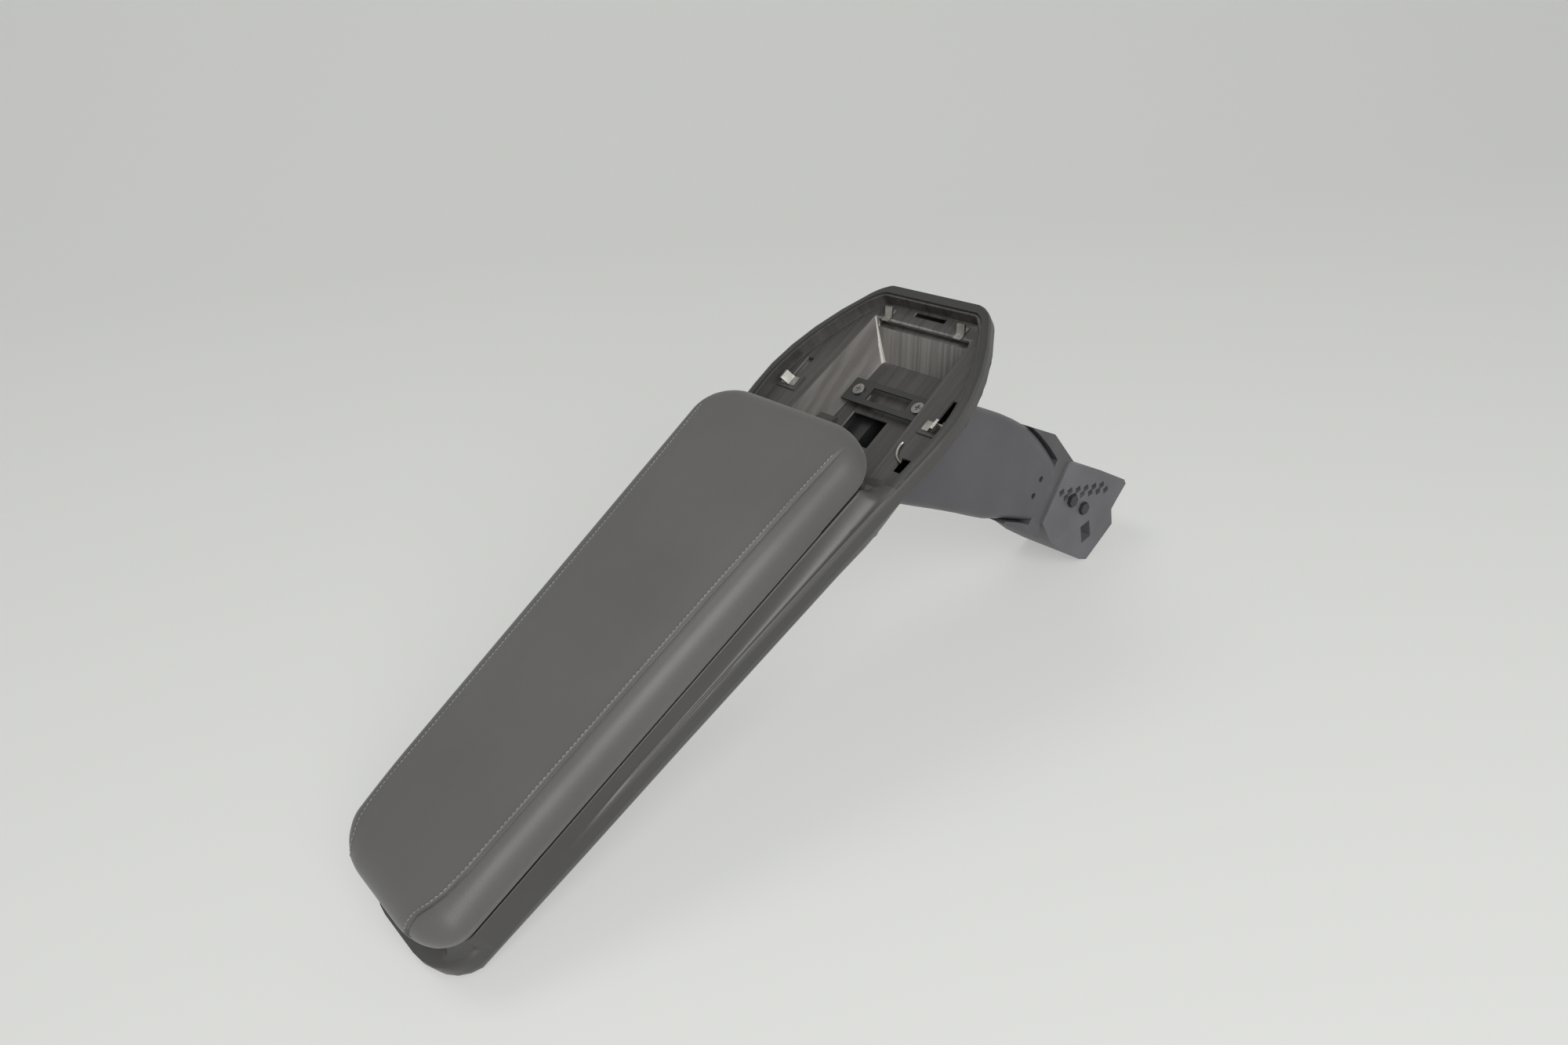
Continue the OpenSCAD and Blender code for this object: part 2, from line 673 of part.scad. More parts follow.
module pocket_liner() {
    color(dark_plastic)
        difference() {
            union() {
                difference() {
                    arm_slab(rim_w + clear, -ledge_d - liner_t, ledge_d + liner_t - 1.2,
                        pocket_y0 + clear, pocket_y1 - clear);
                    arm_slab(rim_w + clear + liner_t, -ledge_d, ledge_d + 5,
                        pocket_y0 + clear + liner_t, pocket_y1 - clear - liner_t);
                }
                well(liner_t);
                side_cut([[well_y1 - 3, lip_z + lip_drop + 1], [well_y1 + 4.6, lip_z + lip_drop + 1],
                    [well_y1 + 4.6, lip_z + 2], [well_y1 + 1, lip_z - 1.4], [well_y1 - 3, lip_z - 1.4]],
                    -well_w + 6, well_w - 6);
                for (s = [-1, 1]) {
                    translate([s * boss_gap / 2, boss_y, -well_d]) cylinder(r = boss_r, h = boss_h, $fn = 48);
                    translate([s * clip_x - 8, clip_y - 6, -ledge_d - seat]) cube([16, 12, clip_pad + seat]);
                }
            }
            difference() {
                well(0);
                for (s = [-1, 1])
                    translate([s * boss_gap / 2, boss_y, -well_d - 1])
                        cylinder(r = boss_r, h = boss_h + 1, $fn = 48);
            }
            translate([0, 0, 0.02]) intersection() {
                well(0);
                translate([-100, 0, -ledge_d - 1]) cube([200, 600, 10]);
            }
            side_cut([[well_y1 - 5, lip_z + lip_drop], [well_y1 + 3.4, lip_z + lip_drop], [well_y1 + 3.4, lip_z + 2.4],
                [well_y1 + 0.6, lip_z], [well_y1 - 5, lip_z]], -well_w + 8, well_w - 8);
            for (s = [-1, 1])
                translate([s * boss_gap / 2, boss_y, -well_d + 0.6]) cylinder(r = 1.7, h = boss_h + 2, $fn = 24);
            translate([-24, boss_y - 34, -well_d - 5]) cube([30, 22, 10]);
            for (s = [-1, 1])
                translate([s * 62 - 3, pocket_y0 + 52, -ledge_d - 5]) cube([6, 18, 10]);
            for (s = [-1, 1])
                translate([s * 60 - 4, pocket_y0 + 14, -ledge_d - 5]) cube([8, 10, 10]);
            translate([-13, pocket_y1 - 7, -ledge_d - 5]) cube([26, 4, 10]);
        }
}

module pocket_plate() {
    color(dark_plastic)
        difference() {
            translate([-boss_gap / 2 - 9, boss_y - 9, -well_d + boss_h + seat]) cube([boss_gap + 18, 18, 1.2]);
            translate([-boss_gap / 2 + 9, boss_y - 5, -well_d]) cube([boss_gap - 18, 10, 20]);
            for (s = [-1, 1])
                translate([s * boss_gap / 2, boss_y, -well_d]) cylinder(r = 2.2, h = 20, $fn = 24);
        }
}

module pocket_screws() {
    color(steel)
        for (s = [-1, 1])
            translate([s * boss_gap / 2, boss_y, -well_d + boss_h + 1.2 + seat]) screw(1.65, 5, 4.2, 1.8);
}

// Spring clip with a raised tongue, standing on the ledge
module spring_clip(w, l) {
    side_cut([[-l / 2, 0], [l / 2, 0], [l / 2, 0.6], [l * 0.1, 0.6], [-l * 0.25, 5.4], [-l * 0.4, 5],
        [-l * 0.08, 0.6], [-l / 2, 0.6]], -w / 2, w / 2);
}

clip_y = pocket_y0 + 48;
clip_x = well_w + 15;

module side_clips() {
    color(steel)
        for (s = [-1, 1])
            translate([s * clip_x, clip_y, -ledge_d + clip_pad + seat]) rotate([0, 0, s * 90]) spring_clip(7, 12);
}

module front_clips() {
    color(steel)
        for (s = [-1, 1])
            translate([s * 30, pocket_y1 - 11, -ledge_d + seat]) rotate([0, 0, 180]) spring_clip(6, 10);
}

module wire_spring() {
    wire_r = 0.9;
    bend_r = 11;
    color(steel)
        translate([well_w + 15, pocket_y0 + 31, -ledge_d + wire_r + seat])
            rotate([0, 0, 170]) rotate_extrude(angle = 90, $fn = 96)
                translate([bend_r, 0]) circle(r = wire_r, $fn = 24);
}

// Leg: a steel box core, two moulded half covers and a collar

leg_marks = [[0, 0, 1, 1], [25, 14, 1, 1], [50, 30, 0.99, 1], [78, 46, 0.95, 0.98],
    [101, 56, 0.86, 0.95], [120, 65, 0.72, 0.93], [148, 76, 0.52, 0.91]];
leg_scale = leg_l / leg_marks[6][0];
// Value at share t between b and c, on a smooth curve that also passes through a and d
function through(a, b, c, d, t) = b + t / 2 * (c - a + t * (2 * a - 5 * b + 4 * c - d + t * (3 * (b - c) + d - a)));
// Rows of the leg: depth below its top, shift forward, share of its depth, share of its width
leg_rows = [for (r = concat(
    [for (i = [0:5]) for (t = [0, 0.5])
        through(leg_marks[max(0, i - 1)], leg_marks[i], leg_marks[i + 1], leg_marks[min(6, i + 2)], t)],
    [leg_marks[6]])) [r[0] * leg_scale, r[1], r[2], r[3]]];

// Rounded rectangle in plan, at height z, round [0, y]
function leg_loop(y, z, hx, hy, r) = [for (q = [0:3]) for (i = [0:4])
    let (a = q * 90 + i * 22.5, cx = (q == 0 || q == 3) ? hx - r : r - hx, cy = q < 2 ? hy - r : r - hy)
    [cx + r * cos(a), y + cy + r * sin(a), z]];

module leg_solid(inset, over = 0) {
    loft([for (i = [len(leg_rows) - 1:-1:0]) let (row = leg_rows[i], z = floor_z - clear - row[0])
        leg_loop(leg_y + row[1], i == 0 ? z + over : (i == len(leg_rows) - 1 ? z - over : z),
            leg_w * row[3] - inset, leg_d * row[2] - inset, 12 - inset)]);
}

// Height of one of the leg's rows
function leg_row_z(i) = floor_z - clear - leg_rows[i][0];

// Middle and half depth of the leg at height z, and the height of its slanted lower end
function leg_mid(z) = leg_y + lookup(floor_z - clear - z, [for (row = leg_rows) [row[0], row[1]]]);
function leg_half(z) = leg_d * lookup(floor_z - clear - z, [for (row = leg_rows) [row[0], row[2]]]);
function leg_end(y) = floor_z - leg_l + 5 + (y - leg_y - 55) * 0.42;

module below_leg() {
    side_cut([[leg_y, leg_end(leg_y) + clear], [leg_y, up(19)], [leg_y + 166, up(19)],
        [leg_y + 166, leg_end(leg_y + 166) + clear]], -2 * leg_w, 2 * leg_w);
}

module leg_shell() {
    difference() {
        leg_solid(0);
        leg_solid(cover_t, 1);
        below_leg();
    }
}

module cover_half(s) {
    difference() {
        intersection() {
            leg_shell();
            translate([s > 0 ? 0.15 : -100.15, 0, -400]) cube([100, 800, 800]);
        }
        for (p = [[74, 29], [62, 24]])
            translate([s * leg_w, leg_y + p[0], floor_z - leg_l + p[1]]) rotate([0, 90, 0])
                cylinder(r = 2.2, h = 16, center = true, $fn = 24);
    }
}

module leg_cover_right() {
    color(shell_grey) cover_half(1);
}
module leg_cover_left() {
    color(shell_grey) cover_half(-1);
}

core_rear = [[leg_y - 30, floor_z + wall + 1], [leg_y + 44, up(113)], [leg_y + 82, up(39)]];
core_front = [[leg_y + 112, up(39)], [leg_y + 82, up(113)], [leg_y + 30, floor_z + wall + 1]];

function pulled(points, dy) = [for (p = points) [p[0] + dy, p[1]]];

module leg_core() {
    color(steel)
        difference() {
            union() {
                side_cut(concat(core_rear, core_front), -core_w, core_w);
                translate([-leg_w + 2, leg_y - leg_d + 9, floor_z + wall + seat])
                    cube([2 * leg_w - 4, leg_d + 15, core_t]);
            }
            translate([0, 0, -0.01])
                side_cut(concat([[leg_y - 30 + core_t, floor_z + wall + 20], [leg_y - 30 + core_t, floor_z + wall]],
                    pulled([core_rear[1]], core_t * 1.15), [[leg_y + 82 + core_t * 1.15, up(38)]],
                    [[leg_y + 112 - core_t * 1.15, up(38)]], pulled([core_front[1]], -core_t * 1.15),
                    [[leg_y + 30 - core_t, floor_z + wall], [leg_y + 30 - core_t, floor_z + wall + 20]]),
                    -core_w + core_t, core_w - core_t);
            for (p = core_bolt_places)
                translate([p[0], p[1], floor_z]) cylinder(r = 2.6, h = 20, $fn = 24);
            for (p = cross_places)
                translate([0, p[0], p[1]]) rotate([0, 90, 0]) cylinder(r = 3.1, h = 80, center = true, $fn = 32);
        }
}

core_bolt_places = [for (x = [-1, 1]) for (y = [-28, 18]) [x * 22.5, leg_y + y]];
cross_places = [[leg_y + 92, up(65)], [leg_y + 99, up(47)]];

module core_bolts() {
    color(steel)
        for (p = core_bolt_places)
            translate([p[0], p[1], floor_z + wall + core_t + seat]) screw(2.5, wall + core_t - 0.4, 4.6, 2.4);
}

// Slanted joint between the collar and the foot
function foot_top(y) = leg_end(y) - 14;

module leg_collar() {
    color(dark_plastic)
        difference() {
            side_cut(concat(
                [for (z = concat([for (i = [6:10]) leg_row_z(i)], [leg_end(leg_y + 96)]))
                    [leg_mid(z) + leg_half(z) + clear + 0.05, z]],
                [[leg_y + 50, leg_end(leg_y + 50)]],
                [for (i = [12, 11, 10]) let (z = leg_row_z(i) + (i == 12 ? 10 : 0))
                    [leg_mid(z) - leg_half(z) - clear - 0.05, z]],
                [[leg_y + 31, up(111)], [leg_y + 53, up(66)], [leg_y + 60, foot_top(leg_y + 60)],
                [leg_y + 104, foot_top(leg_y + 104)], [leg_y + 110, up(89)], [leg_y + 104, up(126)]]),
                -leg_w + 5, leg_w - 5);
            side_cut(concat(pulled(core_rear, -clear), pulled(core_front, clear)), -core_w - clear, core_w + clear);
        }
}

// Foot: a ribbed casting that takes the core between its cheeks

foot_line = concat([for (y = [foot_y + 2, foot_y - 42]) [y, foot_top(y) - seat]],
    [for (p = [[-43, 55], [-36, 33], [-25, 8], [-19, 0], [18, 0], [23, 13], [31, 15], [46, 18], [46, 23],
        [27, 57], [14, 77]]) [foot_y + p[0], up(p[1])]]);
// Small pockets that step down across each cheek, and the deeper one at their foot
cell = 5.6;
cell_places = [for (i = [0:5]) for (j = [0:1]) [i * (cell + rib_t) * 0.94 - j * 2,
    72 - i * (cell + rib_t) * 0.9 + j * (cell + rib_t)]];

module foot_bracket() {
    color(cast_grey)
        difference() {
            side_cut(foot_line, -foot_w, foot_w);
            side_cut(concat(pulled(core_rear, -clear), [[leg_y + 82 - clear, up(38)], [leg_y + 112 + clear, up(38)]],
                pulled(core_front, clear)), -core_w - clear, core_w + clear);
            for (s = [-1, 1])
                for (p = cell_places)
                    translate([s * (foot_w - rib_d / 2 + 0.5), foot_y - 13 + p[0], up(p[1])]) rotate([-20, 0, 0])
                        cube([rib_d + 1, cell, cell * 0.8], center = true);
            for (s = [-1, 1])
                translate([s * (foot_w - rib_d / 2 + 0.5), foot_y - 9, up(24)]) rotate([-20, 0, 0])
                    cube([rib_d + 1, 11, 15], center = true);
            for (x = [-1, 1])
                translate([x * foot_bolt_gap / 2, foot_y, -arm_rise - 1])
                    cylinder(r = foot_bolt_r, h = 16, $fn = 48);
            for (p = cross_places)
                translate([0, p[0], p[1]]) rotate([0, 90, 0]) cylinder(r = 3.1, h = 80, center = true, $fn = 32);
        }
}

module foot_cross_bolts() {
    color(steel)
        for (p = cross_places)
            translate([0, p[0], p[1]]) rotate([0, 90, 0]) {
                cylinder(r = 3, h = 2 * foot_w + 1, center = true, $fn = 32);
                translate([0, 0, foot_w + seat]) cylinder(r = 5, h = 3, $fn = 6);
                translate([0, 0, -foot_w - 3 - seat]) cylinder(r = 5, h = 3, $fn = 6);
            }
}

// Moves a piece from arm coordinates to the foot's mounting face
module placed() {
    translate([0, -foot_y, arm_rise]) children();
}

placed() lid_cushion();
placed() lid_plate();
placed() lid_plate_screws();
placed() lid_buffers();
placed() hinge_leaf();
placed() hinge_pin();
placed() hinge_bracket();
placed() leaf_screws();
placed() bracket_screws();
placed() release_lever();
placed() release_pin();
placed() release_spring();
placed() striker();
placed() striker_screws();
placed() upper_frame();
placed() lower_shell();
placed() shell_screws();
placed() storage_tray();
placed() tray_mat();
placed() pocket_liner();
placed() pocket_plate();
placed() pocket_screws();
placed() side_clips();
placed() front_clips();
placed() wire_spring();
placed() leg_core();
placed() core_bolts();
placed() leg_cover_right();
placed() leg_cover_left();
placed() leg_collar();
placed() foot_bracket();
placed() foot_cross_bolts();
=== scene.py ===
"""A car centre armrest on a raked leg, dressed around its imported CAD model.

The lid's leather cover, its seams and its stitches are surfaces worked out with numpy.
The moulded shells, the pocket liner, the leg and the foot keep the CAD's own shape, with
their edges eased, and every CAD node has a procedural material for what it is made of.
Arm coordinates, used by the shape functions: y runs from the tail to the pocket and z is
0 at the top of the rim, in metres.
"""

from __future__ import annotations

import json
import logging
import math
from dataclasses import dataclass, field
from enum import Enum
from typing import Any

import bmesh
import bpy
import numpy as np
from mathutils import Matrix, Vector

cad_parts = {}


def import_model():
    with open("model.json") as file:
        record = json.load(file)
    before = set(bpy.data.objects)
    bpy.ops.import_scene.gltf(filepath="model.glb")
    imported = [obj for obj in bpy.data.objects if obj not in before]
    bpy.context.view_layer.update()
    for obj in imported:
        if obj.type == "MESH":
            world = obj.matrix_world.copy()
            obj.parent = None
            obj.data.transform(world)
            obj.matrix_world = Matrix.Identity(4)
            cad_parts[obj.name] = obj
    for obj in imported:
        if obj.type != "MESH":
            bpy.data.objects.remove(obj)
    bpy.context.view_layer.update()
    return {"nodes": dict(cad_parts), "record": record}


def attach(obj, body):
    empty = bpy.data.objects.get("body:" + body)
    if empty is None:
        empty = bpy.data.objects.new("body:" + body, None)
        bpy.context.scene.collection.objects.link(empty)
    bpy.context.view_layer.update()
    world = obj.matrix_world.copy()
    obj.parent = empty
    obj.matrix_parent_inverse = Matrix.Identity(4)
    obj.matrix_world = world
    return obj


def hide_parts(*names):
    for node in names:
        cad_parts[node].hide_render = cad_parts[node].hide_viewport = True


log = logging.getLogger("armrest")

FOOT_Y = 0.496
ARM_RISE = 0.279
POCKET_Y = 0.339
LEDGE_DEPTH = 0.0092

# Most of a noise texture's values lie between these two
NOISE_LOW, NOISE_HIGH = 0.3, 0.7
# Up-facing share at which a face starts to take the painted shade on flats, and at which it takes all of it
FLAT_STARTS, FLAT_FULL = 0.6, 0.85
# Points closer than this are one, faces turned less than this are one flat, and edges more are sharp
MERGE = 2e-6
FLAT_DEGREES = 0.3
SHARP_DEGREES = 32.0


# Colours and nodes


def linear(hex_colour: str) -> tuple[float, float, float, float]:
    """Turns an sRGB hex colour into linear light.

    Args:
        hex_colour: six hex digits, with or without a leading hash.

    Returns:
        Red, green, blue and an alpha of one.
    """
    digits = hex_colour.lstrip("#")
    parts = [int(digits[i : i + 2], 16) / 255 for i in (0, 2, 4)]
    red, green, blue = (p / 12.92 if p <= 0.04045 else ((p + 0.055) / 1.055) ** 2.4 for p in parts)
    return red, green, blue, 1.0


def add_node(
    tree: bpy.types.NodeTree,
    kind: str,
    settings: dict[str, Any] | None = None,
    inputs: dict[str | int, Any] | None = None,
) -> bpy.types.Node:
    """Adds one node, sets its properties and fills or links its inputs.

    Args:
        tree: the node tree that takes the node.
        kind: the node's type name.
        settings: properties of the node by name.
        inputs: socket name or number to a value or to an output socket.

    Returns:
        The new node.
    """
    node = tree.nodes.new(kind)
    for name, value in (settings or {}).items():
        setattr(node, name, value)
    for key, value in (inputs or {}).items():
        if isinstance(value, bpy.types.NodeSocket):
            tree.links.new(value, node.inputs[key])
        else:
            node.inputs[key].default_value = value
    return node


def ramp(
    tree: bpy.types.NodeTree, value: bpy.types.NodeSocket, stops: list[tuple[float, Any]]
) -> bpy.types.NodeSocket:
    """Maps a value to colours by a ramp.

    Args:
        tree: the node tree.
        value: the socket that drives the ramp.
        stops: position and linear colour of each stop, in order.

    Returns:
        The ramp's colour socket.
    """
    node = add_node(tree, "ShaderNodeValToRGB", None, {"Fac": value})
    band = node.color_ramp.elements
    while len(band) < len(stops):
        band.new(0.5)
    for element, (position, colour) in zip(band, stops):
        element.position = position
        element.color = colour
    return node.outputs["Color"]


def per_mm(size: float) -> float:
    """Gives the pattern scale, per metre, whose features are size millimetres wide."""
    return 1000.0 / size


@dataclass(frozen=True)
class Finish:
    """What every finish has: its name, its colours and how it reflects."""

    name: str
    colour: str
    shade: str
    roughness: float = 0.5
    ior: float = 1.5
    metallic: float = 0.0
    cloud_mm: float = 40.0
    grain_mm: float = 0.7
    relief_mm: float = 0.02
    edge_mm: float = 0.35
    edge_samples: int = 4
    blend: tuple[float, float] = (0.36, 0.64)
    cloud_detail: float = 4.0
    grain_detail: float = 2.0
    rough_span: tuple[float, float] = (0.05, -0.05)

    def start(self) -> tuple[bpy.types.Material, bpy.types.NodeTree, bpy.types.NodeSocket]:
        """Makes an empty material.

        Returns:
            The material, its node tree and the socket of object coordinates.
        """
        material = bpy.data.materials.new(self.name)
        material.use_nodes = True
        tree = material.node_tree
        tree.nodes.clear()
        place = add_node(tree, "ShaderNodeTexCoord").outputs["Object"]
        return material, tree, place

    def close(
        self,
        material: bpy.types.Material,
        tree: bpy.types.NodeTree,
        colour: bpy.types.NodeSocket,
        roughness: bpy.types.NodeSocket,
        height: bpy.types.NodeSocket,
        **extra: Any,
    ) -> bpy.types.Material:
        """Joins colour, roughness and relief to the surface shader.

        Args:
            material: the material being made.
            tree: its node tree.
            colour: socket of the base colour.
            roughness: socket of the roughness.
            height: socket of the relief, from 0 to 1.
            extra: more inputs of the surface shader, by name with underscores.

        Returns:
            The finished material.
        """
        rounded = add_node(
            tree, "ShaderNodeBevel", {"samples": self.edge_samples}, {"Radius": self.edge_mm / 1000}
        )
        bump = add_node(
            tree,
            "ShaderNodeBump",
            None,
            {
                "Strength": 1.0,
                "Distance": self.relief_mm / 1000,
                "Height": height,
                "Normal": rounded.outputs["Normal"],
            },
        )
        values = {
            "Base Color": colour,
            "Roughness": roughness,
            "Metallic": self.metallic,
            "IOR": self.ior,
            "Normal": bump.outputs["Normal"],
        }
        values.update({key.replace("_", " "): value for key, value in extra.items()})
        surface = add_node(tree, "ShaderNodeBsdfPrincipled", None, values)
        add_node(tree, "ShaderNodeOutputMaterial", None, {"Surface": surface.outputs["BSDF"]})
        return material

    def drift(self, tree: bpy.types.NodeTree, value: bpy.types.NodeSocket) -> bpy.types.NodeSocket:
        """Colour that goes from the shade to the full colour as the value crosses the blend."""
        low, high = self.blend
        return ramp(tree, value, [(low, linear(self.shade)), (high, linear(self.colour))])

    def clouds(
        self, tree: bpy.types.NodeTree, place: bpy.types.NodeSocket, size_mm: float, detail: float
    ) -> bpy.types.NodeSocket:
        """Noise whose features are size_mm wide."""
        return add_node(
            tree, "ShaderNodeTexNoise", None, {"Vector": place, "Scale": per_mm(size_mm), "Detail": detail}
        ).outputs["Fac"]

    def uneven(self, tree: bpy.types.NodeTree, value: bpy.types.NodeSocket) -> bpy.types.NodeSocket:
        """Roughness that crosses its span as the noise value rises."""
        low, high = (self.roughness + part for part in self.rough_span)
        return add_node(
            tree,
            "ShaderNodeMapRange",
            None,
            {"Value": value, "From Min": NOISE_LOW, "From Max": NOISE_HIGH, "To Min": low, "To Max": high},
        ).outputs["Result"]


@dataclass(frozen=True)
class Moulded(Finish):
    """Injection-moulded ABS or polypropylene: a fine spark-eroded grain, faintly clouded."""

    streak: tuple[float, float, float] = (1.0, 1.0, 1.0)
    # Painted shade: up-facing flats beyond a place along y take this share of their colour, and so does all
    # above dark_above
    flat_shade_share: float = 1.0
    flat_shade_from: float = 0.0
    dark_above: float = 10.0

    def build(self) -> bpy.types.Material:
        """Returns the plastic, its colour drifting over the cloud size."""
        material, tree, place = self.start()
        drawn = add_node(
            tree, "ShaderNodeMapping", None, {"Vector": place, "Scale": self.streak}
        ).outputs["Vector"]
        cloud = self.clouds(tree, drawn, self.cloud_mm, self.cloud_detail)
        colour = self.drift(tree, cloud)
        # Painted shade on the faces that look up
        if self.flat_shade_share < 1.0:
            colour = self.painted_flat_shade(tree, place, colour)
        grain = self.clouds(tree, place, self.grain_mm, self.grain_detail)
        return self.close(material, tree, colour, self.uneven(tree, cloud), grain)

    def painted_flat_shade(
        self, tree: bpy.types.NodeTree, place: bpy.types.NodeSocket, colour: bpy.types.NodeSocket
    ) -> bpy.types.NodeSocket:
        """Paints shade on the faces that look up, darker than the walls for how the light falls on them.

        Args:
            tree: the node tree.
            place: socket of object coordinates.
            colour: socket of the colour of the walls.

        Returns:
            The colour, times the painted shade's share on the up-facing flats beyond its place along y, and
            on all above dark_above.
        """
        normal = add_node(tree, "ShaderNodeNewGeometry").outputs["True Normal"]
        facing = add_node(tree, "ShaderNodeSeparateXYZ", None, {0: normal}).outputs["Z"]
        flat = add_node(
            tree,
            "ShaderNodeMapRange",
            None,
            {"Value": facing, "From Min": FLAT_STARTS, "From Max": FLAT_FULL},
        ).outputs["Result"]
        parts = add_node(tree, "ShaderNodeSeparateXYZ", None, {0: place}).outputs
        beyond = add_node(
            tree, "ShaderNodeMath", {"operation": "GREATER_THAN"}, {0: parts["Y"], 1: self.flat_shade_from}
        ).outputs["Value"]
        high = add_node(
            tree, "ShaderNodeMath", {"operation": "GREATER_THAN"}, {0: parts["Z"], 1: self.dark_above}
        ).outputs["Value"]
        flats = add_node(
            tree, "ShaderNodeMath", {"operation": "MULTIPLY"}, {0: flat, 1: beyond}
        ).outputs["Value"]
        share = add_node(
            tree, "ShaderNodeMath", {"operation": "MAXIMUM"}, {0: flats, 1: high}
        ).outputs["Value"]
        dark = (self.flat_shade_share, self.flat_shade_share, self.flat_shade_share, 1.0)
        return add_node(
            tree,
            "ShaderNodeMixRGB",
            {"blend_type": "MULTIPLY"},
            {"Fac": share, "Color1": colour, "Color2": dark},
        ).outputs["Color"]


@dataclass(frozen=True)
class Leather(Finish):
    """Coated leather over foam: pebbled grain cells with a soft, broad sheen."""

    blend: tuple[float, float] = (0.32, 0.68)
    cloud_detail: float = 5.0
    rough_span: tuple[float, float] = (0.06, -0.04)
    bend: float = 0.0006
    bend_mm: float = 2.5
    cell_soft: float = 0.5
    pore_share: float = 0.35
    pore_depth: float = 0.25
    sheen: float = 0.12
    sheen_rough: float = 0.5

    def build(self) -> bpy.types.Material:
        """Returns the leather, its cells drawn a little coarser than life so that they show."""
        material, tree, place = self.start()
        cloud = self.clouds(tree, place, self.cloud_mm, self.cloud_detail)
        colour = self.drift(tree, cloud)
        swirl = add_node(
            tree, "ShaderNodeTexNoise", None, {"Vector": place, "Scale": per_mm(self.bend_mm)}
        ).outputs["Color"]
        bent = add_node(
            tree,
            "ShaderNodeMixRGB",
            {"blend_type": "ADD"},
            {"Fac": self.bend, "Color1": place, "Color2": swirl},
        ).outputs["Color"]
        cells = add_node(
            tree,
            "ShaderNodeTexVoronoi",
            {"feature": "SMOOTH_F1"},
            {"Vector": bent, "Scale": per_mm(self.grain_mm), "Smoothness": self.cell_soft},
        ).outputs["Distance"]
        pores = self.clouds(tree, place, self.grain_mm * self.pore_share, self.grain_detail)
        height = add_node(
            tree, "ShaderNodeMath", {"operation": "MULTIPLY_ADD"}, {0: pores, 1: self.pore_depth, 2: cells}
        ).outputs["Value"]
        soft = {"Sheen_Weight": self.sheen, "Sheen_Roughness": self.sheen_rough}
        return self.close(material, tree, colour, self.uneven(tree, cloud), height, **soft)


@dataclass(frozen=True)
class Metal(Finish):
    """Steel or cast alloy: zinc plated, bright or coated, with fine rolled or cast relief."""

    blend: tuple[float, float] = (0.35, 0.65)
    grain_detail: float = 3.0
    rough_span: tuple[float, float] = (-0.06, 0.08)

    def build(self) -> bpy.types.Material:
        """Returns the metal, its sheen broken by a fine relief."""
        material, tree, place = self.start()
        colour = self.drift(tree, self.clouds(tree, place, self.cloud_mm, self.cloud_detail))
        grain = self.clouds(tree, place, self.grain_mm, self.grain_detail)
        return self.close(material, tree, colour, self.uneven(tree, grain), grain)


@dataclass(frozen=True)
class Palette:
    """Every finish of the armrest."""

    # Embossed and coated: grey cells under a broad, soft sheen
    leather: Finish = Leather(
        "coated_leather", "#525150", "#4c4b4a", 0.52, 1.5, cloud_mm=90, grain_mm=0.9, relief_mm=0.05
    )
    # Twisted polyester, lighter than the leather that it holds
    thread: Finish = Moulded("sewing_thread", "#8f8e89", "#7b7975", 0.7, cloud_mm=6, grain_mm=0.3)
    # Moulded with a fine grain: a satin band on the shoulder, and painted shade on the pocket rim's
    # up-facing top
    frame: Finish = Moulded(
        "abs_frame", "#403f3e", "#3b3a39", 0.38, cloud_mm=70, grain_mm=0.6, relief_mm=0.03,
        flat_shade_share=0.5, flat_shade_from=POCKET_Y - FOOT_Y,
    )
    # The same plastic from another tool, a touch duller
    shell: Finish = Moulded(
        "abs_shell", "#4b4a4a", "#464545", 0.45, cloud_mm=70, grain_mm=0.6, relief_mm=0.03
    )
    # Drawn off a polished core: fine streaks down the well's walls, painted shade on its up-facing ledge
    # and floor, and all of it above the ledge's depth darker
    liner: Finish = Moulded(
        "glossy_abs_liner", "#7f7c79", "#656260", 0.3, cloud_mm=6, grain_mm=1.5, relief_mm=0.03,
        streak=(2.6, 0.1, 0.008), flat_shade_share=0.3, flat_shade_from=-1.0, dark_above=ARM_RISE - LEDGE_DEPTH,
    )
    # The core's rounded corner, polished most and glossy, coloured light as a painted highlight: one bright
    # line
    polished: Finish = Moulded(
        "polished_abs", "#b5b0aa", "#a5a09a", 0.2, cloud_mm=12, grain_mm=2.0, relief_mm=0.005
    )
    # Plain inner mouldings, nearly black
    tray: Finish = Moulded("polypropylene_tray", "#2b2b2a", "#242423", 0.55)
    # Moulded leg covers, a little bluer than the frame
    leg: Finish = Moulded(
        "abs_leg_cover", "#4d4c50", "#48474b", 0.42, cloud_mm=60, grain_mm=0.6, relief_mm=0.03
    )
    # Tough nylon, matt
    collar: Finish = Moulded("nylon_collar", "#545356", "#4a494c", 0.5, cloud_mm=30, grain_mm=0.8)
    # Pressure-cast and coated: satin, with a faint cast skin
    foot: Finish = Metal("cast_foot", "#636266", "#57565a", 0.5, grain_mm=0.9, relief_mm=0.06)
    # Moulded rubber, dead matt
    rubber: Finish = Moulded("nitrile_rubber", "#1d1d1d", "#171717", 0.8, 1.52)
    # Pressed or turned steel under zinc: dull silver, faintly spangled
    steel: Finish = Metal(
        "zinc_plated_steel", "#9c9b98", "#83827f", 0.36, metallic=1.0,
        cloud_mm=9, grain_mm=0.6, edge_mm=0.15,
    )
    # Rolled strip, left bright
    spring: Finish = Metal(
        "bright_spring_steel", "#a9a8a3", "#8b8984", 0.3, metallic=1.0,
        cloud_mm=6, grain_mm=0.5, edge_mm=0.1,
    )
    # Dipped black, satin
    black: Finish = Metal("black_coated_steel", "#2a2a2b", "#222223", 0.45)


class Side(Enum):
    """Which side of the arm a piece is on."""

    LEFT = -1
    RIGHT = 1


# Shapes shared with the part


